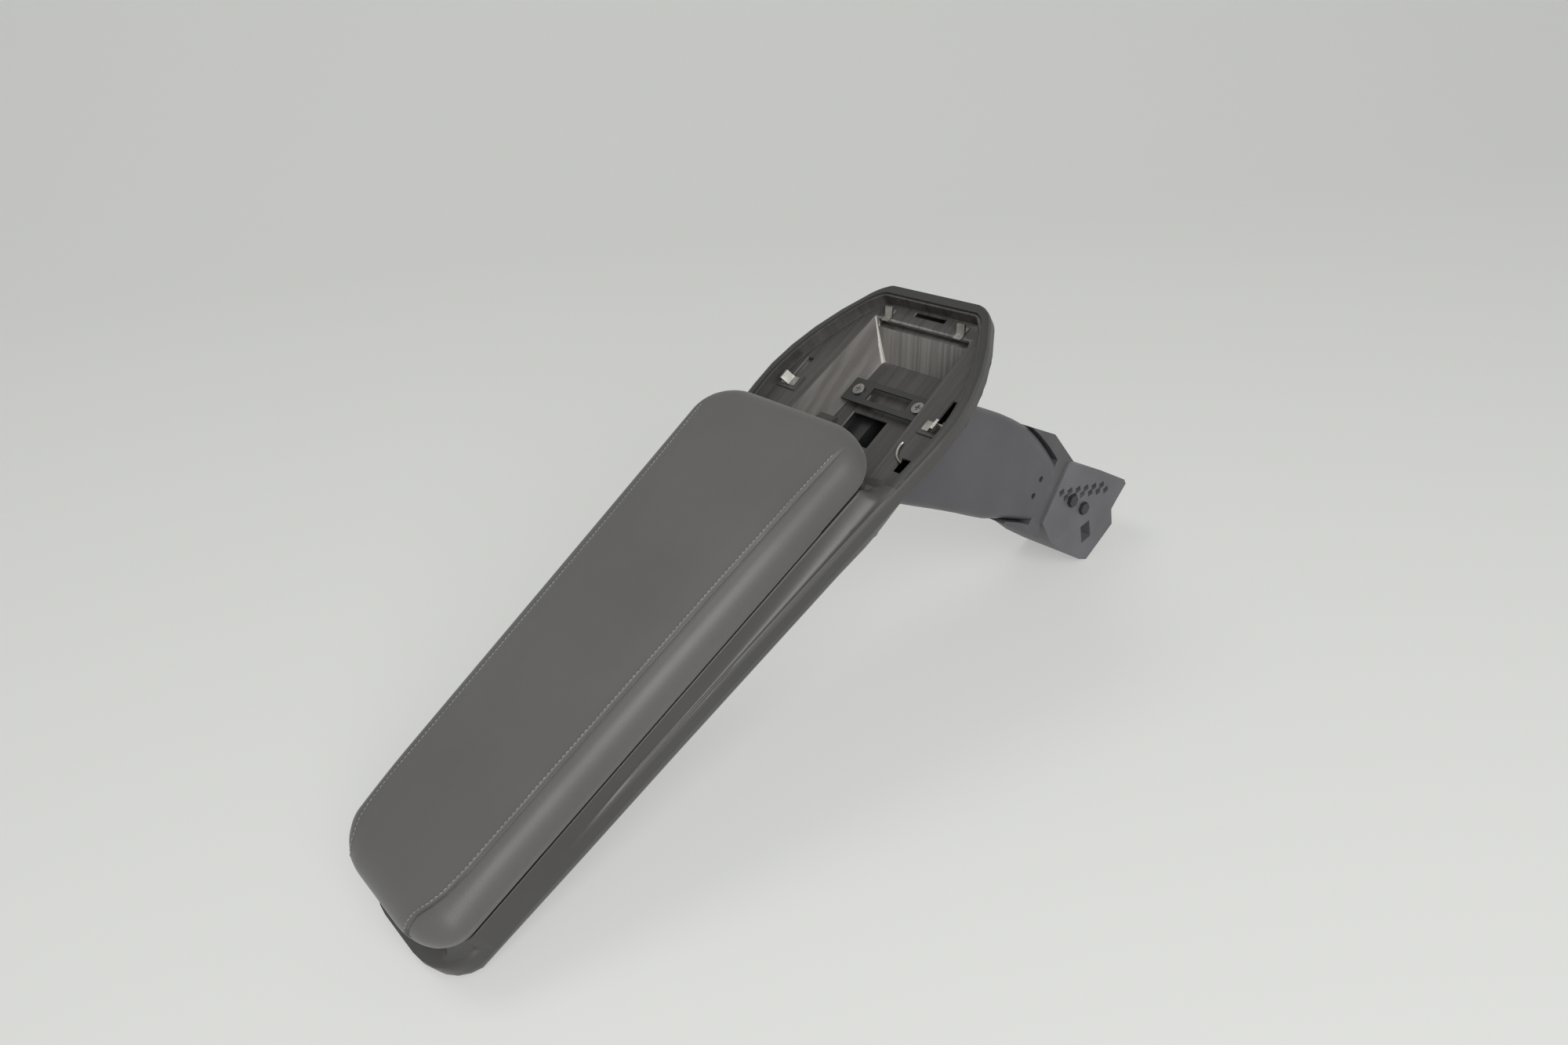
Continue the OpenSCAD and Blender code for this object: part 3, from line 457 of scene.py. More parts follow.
def ease(v: np.ndarray | float, a: float, b: float) -> np.ndarray:
    """Smooth step from 0 at a to 1 at b: three t squared less two t cubed."""
    t = np.clip((np.asarray(v, float) - a) / (b - a), 0.0, 1.0)
    return t * t * (3 - 2 * t)


def bell(v: np.ndarray, middle: float, half: float) -> np.ndarray:
    """Bell of height 1 about middle: e to the minus square of the distance over half."""
    return np.exp(-(((v - middle) / half) ** 2))


def crowded(start: float, end: float, count: int) -> np.ndarray:
    """Places from start to end, close together at both: by one less the cosine of half a turn."""
    return start + (end - start) * 0.5 * (1 - np.cos(np.linspace(0, math.pi, count)))


def round_end(v: np.ndarray, r: float) -> np.ndarray:
    """Share of a rounded end of depth r that is full at distance v: a quarter ellipse."""
    return np.sqrt(np.clip(1 - (1 - np.clip(v / r, 0.0, 1.0)) ** 2, 0.0, 1.0))


@dataclass(frozen=True)
class LidPlan:
    """Plan outline of the lid, in arm coordinates: what its rounded ends take off is a share."""

    tail: float = 0.009
    length: float = 0.341
    tail_w: float = 0.0565
    front_w: float = 0.0705
    tail_r: float = 0.022
    front_r: float = 0.028
    tail_share: float = 0.6
    front_share: float = 0.5

    @property
    def front(self) -> float:
        """Where the lid ends at the pocket."""
        return self.tail + self.length

    def width(self, y: np.ndarray) -> np.ndarray:
        """Half width at y: a straight taper less an elliptical corner at each end."""
        v = y - self.tail
        taper = self.tail_w + (self.front_w - self.tail_w) * v / self.length
        return (
            taper
            - self.tail_w * self.tail_share * (1 - round_end(v, self.tail_r))
            - self.front_w * self.front_share * (1 - round_end(self.length - v, self.front_r))
        )

    def outline(self, count: int = 400) -> np.ndarray:
        """Closed outline as count points each side, from the tail round by the right."""
        y = crowded(self.tail, self.tail + self.length, count)
        w = self.width(y)
        return np.concatenate([np.stack([w, y], 1), np.stack([-w, y], 1)[::-1]])


# Mesh helpers


def to_frame(points: np.ndarray) -> np.ndarray:
    """Moves arm coordinates to the part's frame, whose origin is the foot's mounting face."""
    return points + np.array([0.0, -FOOT_Y, ARM_RISE])


def raised(plan: np.ndarray, z: np.ndarray) -> np.ndarray:
    """Points of a plan curve, each at its own height z."""
    return np.concatenate([plan, z[:, None]], 1)


def grid_faces(rows: int, cols: int, wrap: bool = False, start: int = 0) -> np.ndarray:
    """Quads of a grid of points, row after row, the last column joined to the first if wrap."""
    i, j = np.meshgrid(np.arange(rows - 1), np.arange(cols if wrap else cols - 1), indexing="ij")
    a = i * cols + j
    b = i * cols + (j + 1) % cols
    return np.stack([a, b, b + cols, a + cols], -1).reshape(-1, 4) + start


def new_piece(
    name: str, points: np.ndarray, faces: np.ndarray | list, finish: bpy.types.Material
) -> bpy.types.Object:
    """Makes a smooth-shaded mesh object from points in the part's frame.

    Args:
        name: name of the piece.
        points: n by 3 array.
        faces: array or list of point numbers.
        finish: its material.

    Returns:
        The object, at the origin.
    """
    mesh = bpy.data.meshes.new(name)
    mesh.from_pydata(points.reshape(-1, 3).tolist(), [], [list(map(int, f)) for f in faces])
    mesh.update()
    mesh.polygons.foreach_set("use_smooth", np.ones(len(mesh.polygons), bool))
    mesh.materials.append(finish)
    piece = bpy.data.objects.new(name, mesh)
    bpy.context.scene.collection.objects.link(piece)
    return piece


def both_sides(name: str, grid: np.ndarray, finish: bpy.types.Material) -> list[bpy.types.Object]:
    """Makes a surface on each side of the arm, one the mirror image of the other.

    Args:
        name: name of the pieces, to which each side's is added.
        grid: the right side's, rows by columns by 3 arm coordinates.
        finish: their material.

    Returns:
        The left piece and the right.
    """
    pieces = []
    for hand in Side:
        faces = grid_faces(*grid.shape[:2])
        faces = faces[:, ::-1] if hand is Side.LEFT else faces
        points = to_frame(grid * np.array([hand.value, 1.0, 1.0]))
        pieces.append(new_piece(f"{name}_{hand.name.lower()}", points, faces, finish))
    return pieces


def eased_copy(
    name: str, node: bpy.types.Object, finish: bpy.types.Material, width: float
) -> bpy.types.Object:
    """Copies a CAD node's mesh, merges its triangles and eases its sharp edges.

    Args:
        name: name of the new piece.
        node: the CAD node.
        finish: its material.
        width: width of the eased edge, in metres.

    Returns:
        The new piece.
    """
    mesh = node.data.copy()
    mesh.name = name
    work = bmesh.new()
    work.from_mesh(mesh)
    bmesh.ops.remove_doubles(work, verts=work.verts, dist=MERGE)
    bmesh.ops.dissolve_limit(
        work, angle_limit=math.radians(FLAT_DEGREES), verts=work.verts, edges=work.edges
    )
    work.to_mesh(mesh)
    work.free()
    mesh.materials.clear()
    mesh.materials.append(finish)
    if mesh.has_custom_normals:
        mesh.normals_split_custom_set([(0.0, 0.0, 0.0)] * len(mesh.loops))
    mesh.polygons.foreach_set("use_smooth", np.ones(len(mesh.polygons), bool))
    mesh.set_sharp_from_angle(angle=math.radians(SHARP_DEGREES))
    mesh.update()
    piece = bpy.data.objects.new(name, mesh)
    bpy.context.scene.collection.objects.link(piece)
    bevel = piece.modifiers.new("eased_edges", "BEVEL")
    bevel.width = width
    bevel.segments = 2
    bevel.limit_method = "ANGLE"
    bevel.angle_limit = math.radians(SHARP_DEGREES)
    bevel.use_clamp_overlap = True
    bevel.harden_normals = True
    return piece


# The lid


@dataclass
class Lid:
    """The padded lid: a leather cover on a foam block, with two sewn seams.

    Heights are arm coordinates. The cover is lowest at low and widest at widest, its roll
    is roll deep, and the tail's is tail_soft deeper over the last tail_run.
    """

    paint: dict[str, bpy.types.Material]
    plan: LidPlan = field(default_factory=LidPlan)
    low: float = 0.0092
    widest: float = 0.0200
    top: float = 0.0358
    roll: float = 0.0138
    roll_power: float = 2.6
    tail_soft: float = 0.008
    tail_run: float = 0.06
    crown: float = 0.0012
    crown_half: float = 0.06
    crown_in: float = 0.03
    # The wall below the widest line
    under_in: float = 0.0109
    under_levels: int = 12
    tuck_power: float = 2.0
    drop_power: float = 1.2
    # The seam: a step down from the panel, a dip, a fold beside it and a puff outside
    seam_y: tuple[float, ...] = (
        0.009, 0.022, 0.030, 0.038, 0.052, 0.102, 0.152, 0.202, 0.242, 0.292, 0.350,
    )
    seam_half: tuple[float, ...] = (
        0.0330, 0.0375, 0.0420, 0.0445, 0.0462, 0.0478, 0.0496, 0.0514, 0.0530, 0.0558, 0.0600,
    )
    seam_fade: tuple[float, float] = (0.030, 0.010)
    seam_most: float = 0.78
    seam_step: float = 0.0011
    step_w: float = 0.00014
    seam_dip: float = 0.0011
    dip_out: float = 0.0004
    dip_w: float = 0.0006
    puff: float = 0.0006
    puff_out: float = 0.006
    puff_w: float = 0.005
    fold: float = 0.00022
    fold_out: float = -0.0008
    fold_w: float = 0.0006
    # The stitches
    stitch_pitch: float = 0.0027
    stitch_out: float = -0.0009
    stitch_ends: tuple[float, float] = (0.0035, 0.022)
    stitch_part: tuple[float, float] = (0.14, 0.86)
    stitch_rise: float = 0.00032
    stitch_sunk: float = 0.00012
    thread_r: float = 0.0003
    thread_end: float = 0.55
    stitch_steps: int = 7
    stitch_sides: int = 6
    path_points: int = 900
    # The grid, and how many of the rim's points each way give its direction
    columns: int = 56
    rim_columns: int = 36
    rim_crowd: float = 1.7
    rows: int = 230
    batches: int = 40
    rim_span: int = 3

    def seam_x(self, y: np.ndarray) -> np.ndarray:
        """Distance of a seam from the middle: a straight run that widens to the front."""
        return np.interp(y, np.array(self.seam_y), np.array(self.seam_half))

    def seam_share(self, y: np.ndarray) -> np.ndarray:
        """How far the seam shows: all of it up to the front roll, where it fades out."""
        starts, gone = self.seam_fade
        return 1 - ease(y, self.plan.front - starts, self.plan.front - gone)

    def rim_distance(self, points: np.ndarray) -> np.ndarray:
        """Distance of plan points from the outline, by the nearest of its segments."""
        line = self.plan.outline()
        a, b = line, np.roll(line, -1, axis=0)
        d = b - a
        found = np.empty(len(points))
        length = np.maximum((d * d).sum(1), 1e-16)
        for part in np.array_split(np.arange(len(points)), self.batches):
            p = points[part][:, None, :] - a[None]
            t = np.clip((p * d[None]).sum(2) / length[None], 0, 1)
            gap = p - t[..., None] * d[None]
            found[part] = np.sqrt((gap * gap).sum(2)).min(1)
        return found

    def height(self, x: np.ndarray, y: np.ndarray, inside: np.ndarray) -> np.ndarray:
        """Height of the cover's top over a plan point.

        The edge rolls over as a superellipse of the distance from the outline, the middle
        is crowned, and inside the seams the panel stands one leather's thickness higher.

        Args:
            x: across.
            y: along.
            inside: distance from the outline.

        Returns:
            Heights in arm coordinates.
        """
        softer = ease(y, self.plan.tail + self.tail_run, self.plan.tail) * self.tail_soft
        run = np.clip(inside / (self.roll + softer), 0, 1)
        roll = (1 - (1 - run) ** self.roll_power) ** (1 / self.roll_power)
        z = self.widest + (self.top - self.widest) * roll
        crown = 1 - np.clip(np.abs(x) / self.crown_half, 0, 1) ** 2
        z = z + self.crown * crown * ease(inside, 0, self.crown_in)
        out = np.abs(x) - self.seam_x(y)
        panel = 1 / (1 + np.exp(np.clip(out / self.step_w, -60, 60)))
        dip = bell(out, self.dip_out, self.dip_w) * self.seam_dip
        puff = bell(out, self.puff_out, self.puff_w) * self.puff
        fold = bell(out, self.fold_out, self.fold_w) * self.fold
        return z + self.seam_share(y) * (self.seam_step * (panel - 1) - dip + puff + fold)

    def column_places(self) -> np.ndarray:
        """Shares across from seam to seam (-1 to 1) and out to the edge (beyond 1), denser at the seams."""
        middle = np.sin(np.linspace(0, math.pi / 2, self.columns // 2))
        near = np.linspace(0, 1, self.rim_columns) ** self.rim_crowd
        return np.concatenate([middle[:-1], 1 + near])

    def top_grid(self) -> np.ndarray:
        """Builds the cover's top as a grid of points whose columns follow the seams.

        Rows lie by the mean of an even run and one less the cosine of half a turn. From
        the seam out, a column lies by the sine of a quarter turn.

        Returns:
            Rows by columns by 3 coordinates.
        """
        plan = self.plan
        t = np.linspace(0, math.pi, self.rows)
        even = plan.length * np.linspace(0, 0.5, self.rows)
        y = plan.tail + plan.length * 0.5 * (1 - np.cos(t)) * 0.5 + even
        w = plan.width(y)
        seam = np.minimum(self.seam_x(y), w * self.seam_most)
        share = self.column_places()
        inner = np.clip(share, 0, 1)[None] * seam[:, None]
        outer = np.clip(share - 1, 0, 1)[None]
        half = inner + (w - seam)[:, None] * np.sin(outer * math.pi / 2)
        x = np.concatenate([-half[:, :0:-1], half], axis=1)
        yy = np.repeat(y[:, None], x.shape[1], axis=1)
        inside = self.rim_distance(np.stack([x.ravel(), yy.ravel()], 1)).reshape(x.shape)
        inside[0], inside[-1], inside[:, 0], inside[:, -1] = 0, 0, 0, 0
        return np.stack([x, yy, self.height(x, yy, inside)], -1)

    def under_walls(self, rim: np.ndarray) -> list[np.ndarray]:
        """Carries the rim's points inwards and down, one ring for each level.

        Inwards they go by the tuck power of the share of the way round, and down by one
        less the rest of that share to the drop power.

        Args:
            rim: the rim's points, in order.

        Returns:
            The rings, from the rim down.
        """
        ahead = np.roll(rim, -self.rim_span, axis=0) - np.roll(rim, self.rim_span, axis=0)
        inward = np.stack([-ahead[:, 1], ahead[:, 0]], 1)
        inward /= np.linalg.norm(inward, axis=1)[:, None] + 1e-12
        walls = []
        for level in np.linspace(0, 1, self.under_levels + 1)[1:]:
            ring = rim.copy()
            ring[:, :2] += inward * self.under_in * level**self.tuck_power
            ring[:, 2] = self.widest - (self.widest - self.low) * (1 - (1 - level) ** self.drop_power)
            walls.append(ring)
        return walls

    def cover(self) -> bpy.types.Object:
        """Builds the leather: the grid of its top, its turned-under wall and a flat underside.

        Returns:
            The cover, closed.
        """
        top = self.top_grid()
        rows, cols = top.shape[:2]
        ring = np.concatenate(
            [
                np.arange(cols),
                np.arange(1, rows) * cols + cols - 1,
                (rows - 1) * cols + np.arange(cols - 2, -1, -1),
                np.arange(rows - 2, 0, -1) * cols,
            ]
        )
        walls = self.under_walls(top.reshape(-1, 3)[ring])
        middle = np.array([[0.0, self.plan.tail + self.plan.length * 0.5, self.low]])
        points = np.concatenate([top.reshape(-1, 3), *walls, middle])
        count = len(ring)
        first = rows * cols
        k = np.arange(count)
        nxt = (k + 1) % count
        faces = [grid_faces(rows, cols), np.stack([ring[nxt], ring[k], first + k, first + nxt], 1)]
        for level in range(len(walls) - 1):
            a = first + level * count
            faces.append(np.stack([a + nxt, a + k, a + count + k, a + count + nxt], 1))
        last = first + (len(walls) - 1) * count
        caps = np.stack([last + nxt, last + k, np.full(count, len(points) - 1)], 1)
        all_faces = [*np.concatenate(faces).tolist(), *caps.tolist()]
        return new_piece("lid_leather_cover", to_frame(points), all_faces, self.paint["leather"])

    def seam_path(self, side: Side) -> np.ndarray:
        """Line of a seam's stitches on the cover's top, from tail to front."""
        tail_gap, front_gap = self.stitch_ends
        y = np.linspace(self.plan.tail + tail_gap, self.plan.front - front_gap, self.path_points)
        x = side.value * (self.seam_x(y) + self.stitch_out)
        inside = self.rim_distance(np.stack([x, y], 1))
        return np.stack([x, y, self.height(x, y, inside)], 1)

    def stitches(self, side: Side) -> bpy.types.Object:
        """Builds one seam's stitches: short tubes that dip at both ends into the leather."""
        path = self.seam_path(side)
        run = np.concatenate([[0], np.cumsum(np.linalg.norm(np.diff(path, axis=0), axis=1))])
        count = int(run[-1] / self.stitch_pitch)
        steps, around = self.stitch_steps, self.stitch_sides
        s = (np.arange(count)[:, None] + np.linspace(*self.stitch_part, steps)[None]) * self.stitch_pitch
        centre = np.stack([np.interp(s, run, path[:, k]) for k in range(3)], -1)
        share = np.linspace(0, math.pi, steps)
        centre[..., 2] += self.stitch_rise * np.sin(share)[None] - self.stitch_sunk
        ahead = np.gradient(centre, axis=1)
        ahead /= np.linalg.norm(ahead, axis=2)[..., None]
        across = np.cross(ahead, np.array([0.0, 0.0, 1.0]))
        across /= np.linalg.norm(across, axis=2)[..., None]
        up = np.cross(across, ahead)
        turn = np.arange(around) * 2 * math.pi / around
        thick = self.thread_end + (1 - self.thread_end) * np.sin(share)
        radius = self.thread_r * thick[None, :, None, None]
        ring = centre[:, :, None] + radius * (
            np.cos(turn)[None, None, :, None] * across[:, :, None]
            + np.sin(turn)[None, None, :, None] * up[:, :, None]
        )
        faces = np.concatenate(
            [grid_faces(steps, around, True, k * steps * around)[:, ::-1] for k in range(count)]
        ).tolist()
        for k in range(count):
            start = k * steps * around
            faces.append([start + q for q in range(around)])
            faces.append([start + (steps - 1) * around + q for q in reversed(range(around))])
        return new_piece(f"lid_stitches_{side.name.lower()}", to_frame(ring), faces, self.paint["thread"])

    def build(self) -> list[bpy.types.Object]:
        """Builds the cover and its stitches, and sets them on the lid.

        Returns:
            The pieces.
        """
        cover = self.cover()
        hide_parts("lid_cushion")
        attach(cover, "lid")
        pieces = [cover]
        for side in Side:
            line = self.stitches(side)
            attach(line, "lid")
            pieces.append(line)
        return pieces


# The frame's shoulder


@dataclass(frozen=True)
class ArmPlan:
    """Plan outline of the arm, in arm coordinates."""

    tail_w: float = 0.050
    belly_w: float = 0.080
    belly_y: float = 0.380
    tail_r: float = 0.024
    tail_cut: float = 0.030
    rise: float = 1.15

    def width(self, y: np.ndarray) -> np.ndarray:
        """Half width at y behind the belly: a rise by a power of y less the tail's rounded corner."""
        side = self.tail_w + (self.belly_w - self.tail_w) * np.clip(y / self.belly_y, 0, 1) ** self.rise
        return side - self.tail_cut * (1 - round_end(y, self.tail_r))


@dataclass
class Shoulder:
    """The frame's side beside the lid: one fine surface that sweeps up to a lip close under the leather.

    It lies a little proud of the part's own facets and carries the lip on round the lid's
    tail and front corners.
    """

    paint: dict[str, bpy.types.Material]
    lid: LidPlan = field(default_factory=LidPlan)
    arm: ArmPlan = field(default_factory=ArmPlan)
    start: float = 0.0098
    start_fade: float = 0.0028
    end: float = 0.3375
    end_fade: float = 0.012
    inner_in: float = 0.0086
    crest_in: float = 0.0055
    lip: float = 0.0086
    crest: float = 0.0010
    sweep_power: float = 1.7
    proud: float = 0.000256
    hidden: float = 0.0001
    sunk: float = 0.0004
    edge_in: float = 0.0026
    edge_least: float = 0.0004
    edge: tuple[tuple[float, float], ...] = (
        (-0.0018, -0.0004), (-0.0010, -0.0009), (-0.0004, -0.0018), (0.0, -0.0030),
    )
    side_high: float = -0.0045
    side_low: float = -0.0087
    side_rows: int = 4
    lip_rows: int = 6
    sweep_rows: int = 26
    rows: int = 360
    smoothings: int = 2
    slope_step: float = 1e-5
    reach_y: float = 0.42
    reach_points: int = 5000

    def outward(self, y: np.ndarray) -> np.ndarray:
        """Unit vectors at right angles to the lid's outline at y, pointing out, as x and y."""
        step = self.slope_step
        slope = (self.lid.width(y + step) - self.lid.width(y - step)) / (2 * step)
        return np.stack([np.ones_like(y), -slope], 1) / np.sqrt(1 + slope**2)[:, None]

    def reach(self, at: np.ndarray, out: np.ndarray) -> np.ndarray:
        """Distance from each point, along its outward vector, to the arm's outline.

        Args:
            at: points in plan, inside the outline.
            out: a unit vector for each of them.

        Returns:
            The distances.
        """
        y = self.reach_y * (1 - np.cos(np.linspace(0, math.pi / 2, self.reach_points)))
        line = np.stack([self.arm.width(y), y], 1)
        gap = line[None] - at[:, None]
        ahead = (gap * out[:, None]).sum(2)
        off = np.abs(gap[..., 0] * out[:, None, 1] - gap[..., 1] * out[:, None, 0])
        off[ahead < 0] = 1.0
        return ahead[np.arange(len(at)), off.argmin(1)]

    def sections(self) -> np.ndarray:
        """Works out the right side's sections.

        A section stands at right angles to the lid's outline. It runs up the lip's inner
        face, over its crest, down a sweep that falls by the sweep power of the share left,
        round the edge and down the side. Where it fades it sinks into the part's own face.

        Returns:
            Rows by columns by 3 coordinates.
        """
        y = crowded(self.start, self.end, self.rows)
        out = self.outward(y)
        rim = np.stack([self.lid.width(y), y], 1)
        inner, crest = rim - out * self.inner_in, rim - out * self.crest_in
        begun = ease(y, self.start, self.start + self.start_fade)
        full = begun * (1 - ease(y, self.end - self.end_fade, self.end))
        lift = full * self.proud - self.hidden
        top = self.hidden + (self.lip - self.hidden) * full
        peak = top + self.crest * full
        side = self.reach(crest, out)
        foot = np.maximum(self.edge_least, side - self.edge_in)
        up = np.linspace(0, 1, self.lip_rows)
        columns = [raised(inner, -self.sunk + (top + self.sunk) * t) for t in up]
        columns += [raised(inner + (crest - inner) * t, top + (peak - top) * t) for t in up[1:]]
        for t in np.linspace(0, 1, self.sweep_rows)[1:]:
            fall = peak * (1 - t) ** self.sweep_power - self.hidden * t
            columns.append(raised(crest + out * (foot * t)[:, None], fall))
        down = [(0.0, z) for z in np.linspace(self.side_high, self.side_low, self.side_rows)]
        for step, z in [*self.edge, *down]:
            plan = crest + out * np.maximum(side + step, foot)[:, None]
            columns.append(raised(plan, np.full_like(y, z)))
        grid = np.stack(columns, 1)
        for _ in range(self.smoothings):
            grid[:, 1:-1] = 0.25 * grid[:, :-2] + 0.5 * grid[:, 1:-1] + 0.25 * grid[:, 2:]
        grid[..., :2] += (out * lift[:, None])[:, None]
        grid[:, : -self.side_rows - 1, 2] += lift[:, None]
        return grid

    def build(self) -> list[bpy.types.Object]:
        """Builds both sides' skins and sets them on the arm."""
        pieces = both_sides("frame_shoulder", self.sections(), self.paint["frame"])
        for piece in pieces:
            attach(piece, "arm")
        return pieces


# Moulded and cast pieces


@dataclass
class PocketCorners:
    """The moulded fillets where the well's raked front wall meets its side walls, coloured light as a
    painted highlight.
    """

    paint: dict[str, bpy.types.Material]
    top: tuple[float, float, float] = (0.0410, 0.4540, -0.0098)
    bottom: tuple[float, float, float] = (0.0320, 0.4370, -0.0330)
    radius: float = 0.0022
    past: float = 0.15
    steps: int = 24
    turns: int = 12

    def build(self) -> list[bpy.types.Object]:
        """Builds both fillets.

        A section is a quarter circle whose centre lies one radius in from the corner's two
        walls, run a little past them at both ends, and carried straight down the corner.

        Returns:
            The two pieces.
        """
        turn = np.linspace(-self.past, math.pi / 2 + self.past, self.turns)
        top, bottom = np.array(self.top), np.array(self.bottom)
        line = top + np.linspace(0, 1, self.steps)[:, None] * (bottom - top)
        arc = np.stack([np.cos(turn) - 1, np.sin(turn) - 1, np.zeros_like(turn)], -1) * self.radius
        grid = line[:, None] + arc[None]
        # The fillets take the light colour of the painted highlight
        pieces = both_sides("pocket_fillet_highlight", grid, self.paint["polished"])
        for piece in pieces:
            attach(piece, "arm")
        return pieces


@dataclass(frozen=True)
class EasedPart:
    """How one node is dressed: its new name, finish, body and the width of its eased edges."""

    name: str
    finish: str
    body: str
    width: float


@dataclass
class HardPieces:
    """The visible rigid pieces, each the CAD's own shape with its edges eased."""

    paint: dict[str, bpy.types.Material]
    nodes: dict[str, bpy.types.Object]
    eased: dict[str, EasedPart] = field(
        default_factory=lambda: {
            "upper_frame": EasedPart("upper_frame_moulding", "frame", "arm", 0.0005),
            "lower_shell": EasedPart("lower_shell_moulding", "shell", "arm", 0.0005),
            "pocket_liner": EasedPart("pocket_liner_moulding", "liner", "arm", 0.0004),
            "leg_cover_right": EasedPart("leg_cover_right_moulding", "leg", "arm", 0.0006),
            "leg_cover_left": EasedPart("leg_cover_left_moulding", "leg", "arm", 0.0006),
            "leg_collar": EasedPart("leg_collar_moulding", "collar", "arm", 0.0005),
            "foot_bracket": EasedPart("foot_casting", "foot", "arm", 0.0005),
            "release_lever": EasedPart("release_lever_moulding", "frame", "lever", 0.0004),
        }
    )
    kept: dict[str, str] = field(
        default_factory=lambda: {
            "lid_plate": "tray",
            "lid_buffers": "rubber",
            "storage_tray": "tray",
            "tray_mat": "rubber",
            "side_clips": "spring",
            "front_clips": "spring",
            "wire_spring": "spring",
            "release_spring": "spring",
            "leg_core": "black",
            "pocket_plate": "tray",
            "foot_cross_bolts": "black",
        }
    )

    def build(self, slots: dict[str, str]) -> list[bpy.types.Object]:
        """Eases the visible pieces and gives every other node its finish.

        Args:
            slots: material slot of each node, from the record; not used.

        Returns:
            The new pieces.
        """
        pieces = []
        for node_name, part in self.eased.items():
            piece = eased_copy(part.name, self.nodes[node_name], self.paint[part.finish], part.width)
            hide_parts(node_name)
            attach(piece, part.body)
            pieces.append(piece)
        for node_name, node in self.nodes.items():
            if node_name in self.eased or node_name == "lid_cushion":
                continue
            node.data.materials.clear()
            node.data.materials.append(self.paint[self.kept.get(node_name, "steel")])
        return pieces


# The studio


@dataclass(frozen=True)
class Lamp:
    """A square area lamp: its way from the arm back to the camera, up and right, and its size in metres."""

    name: str
    back: float
    up: float
    right: float
    distance: float
    size: float
    watts: float


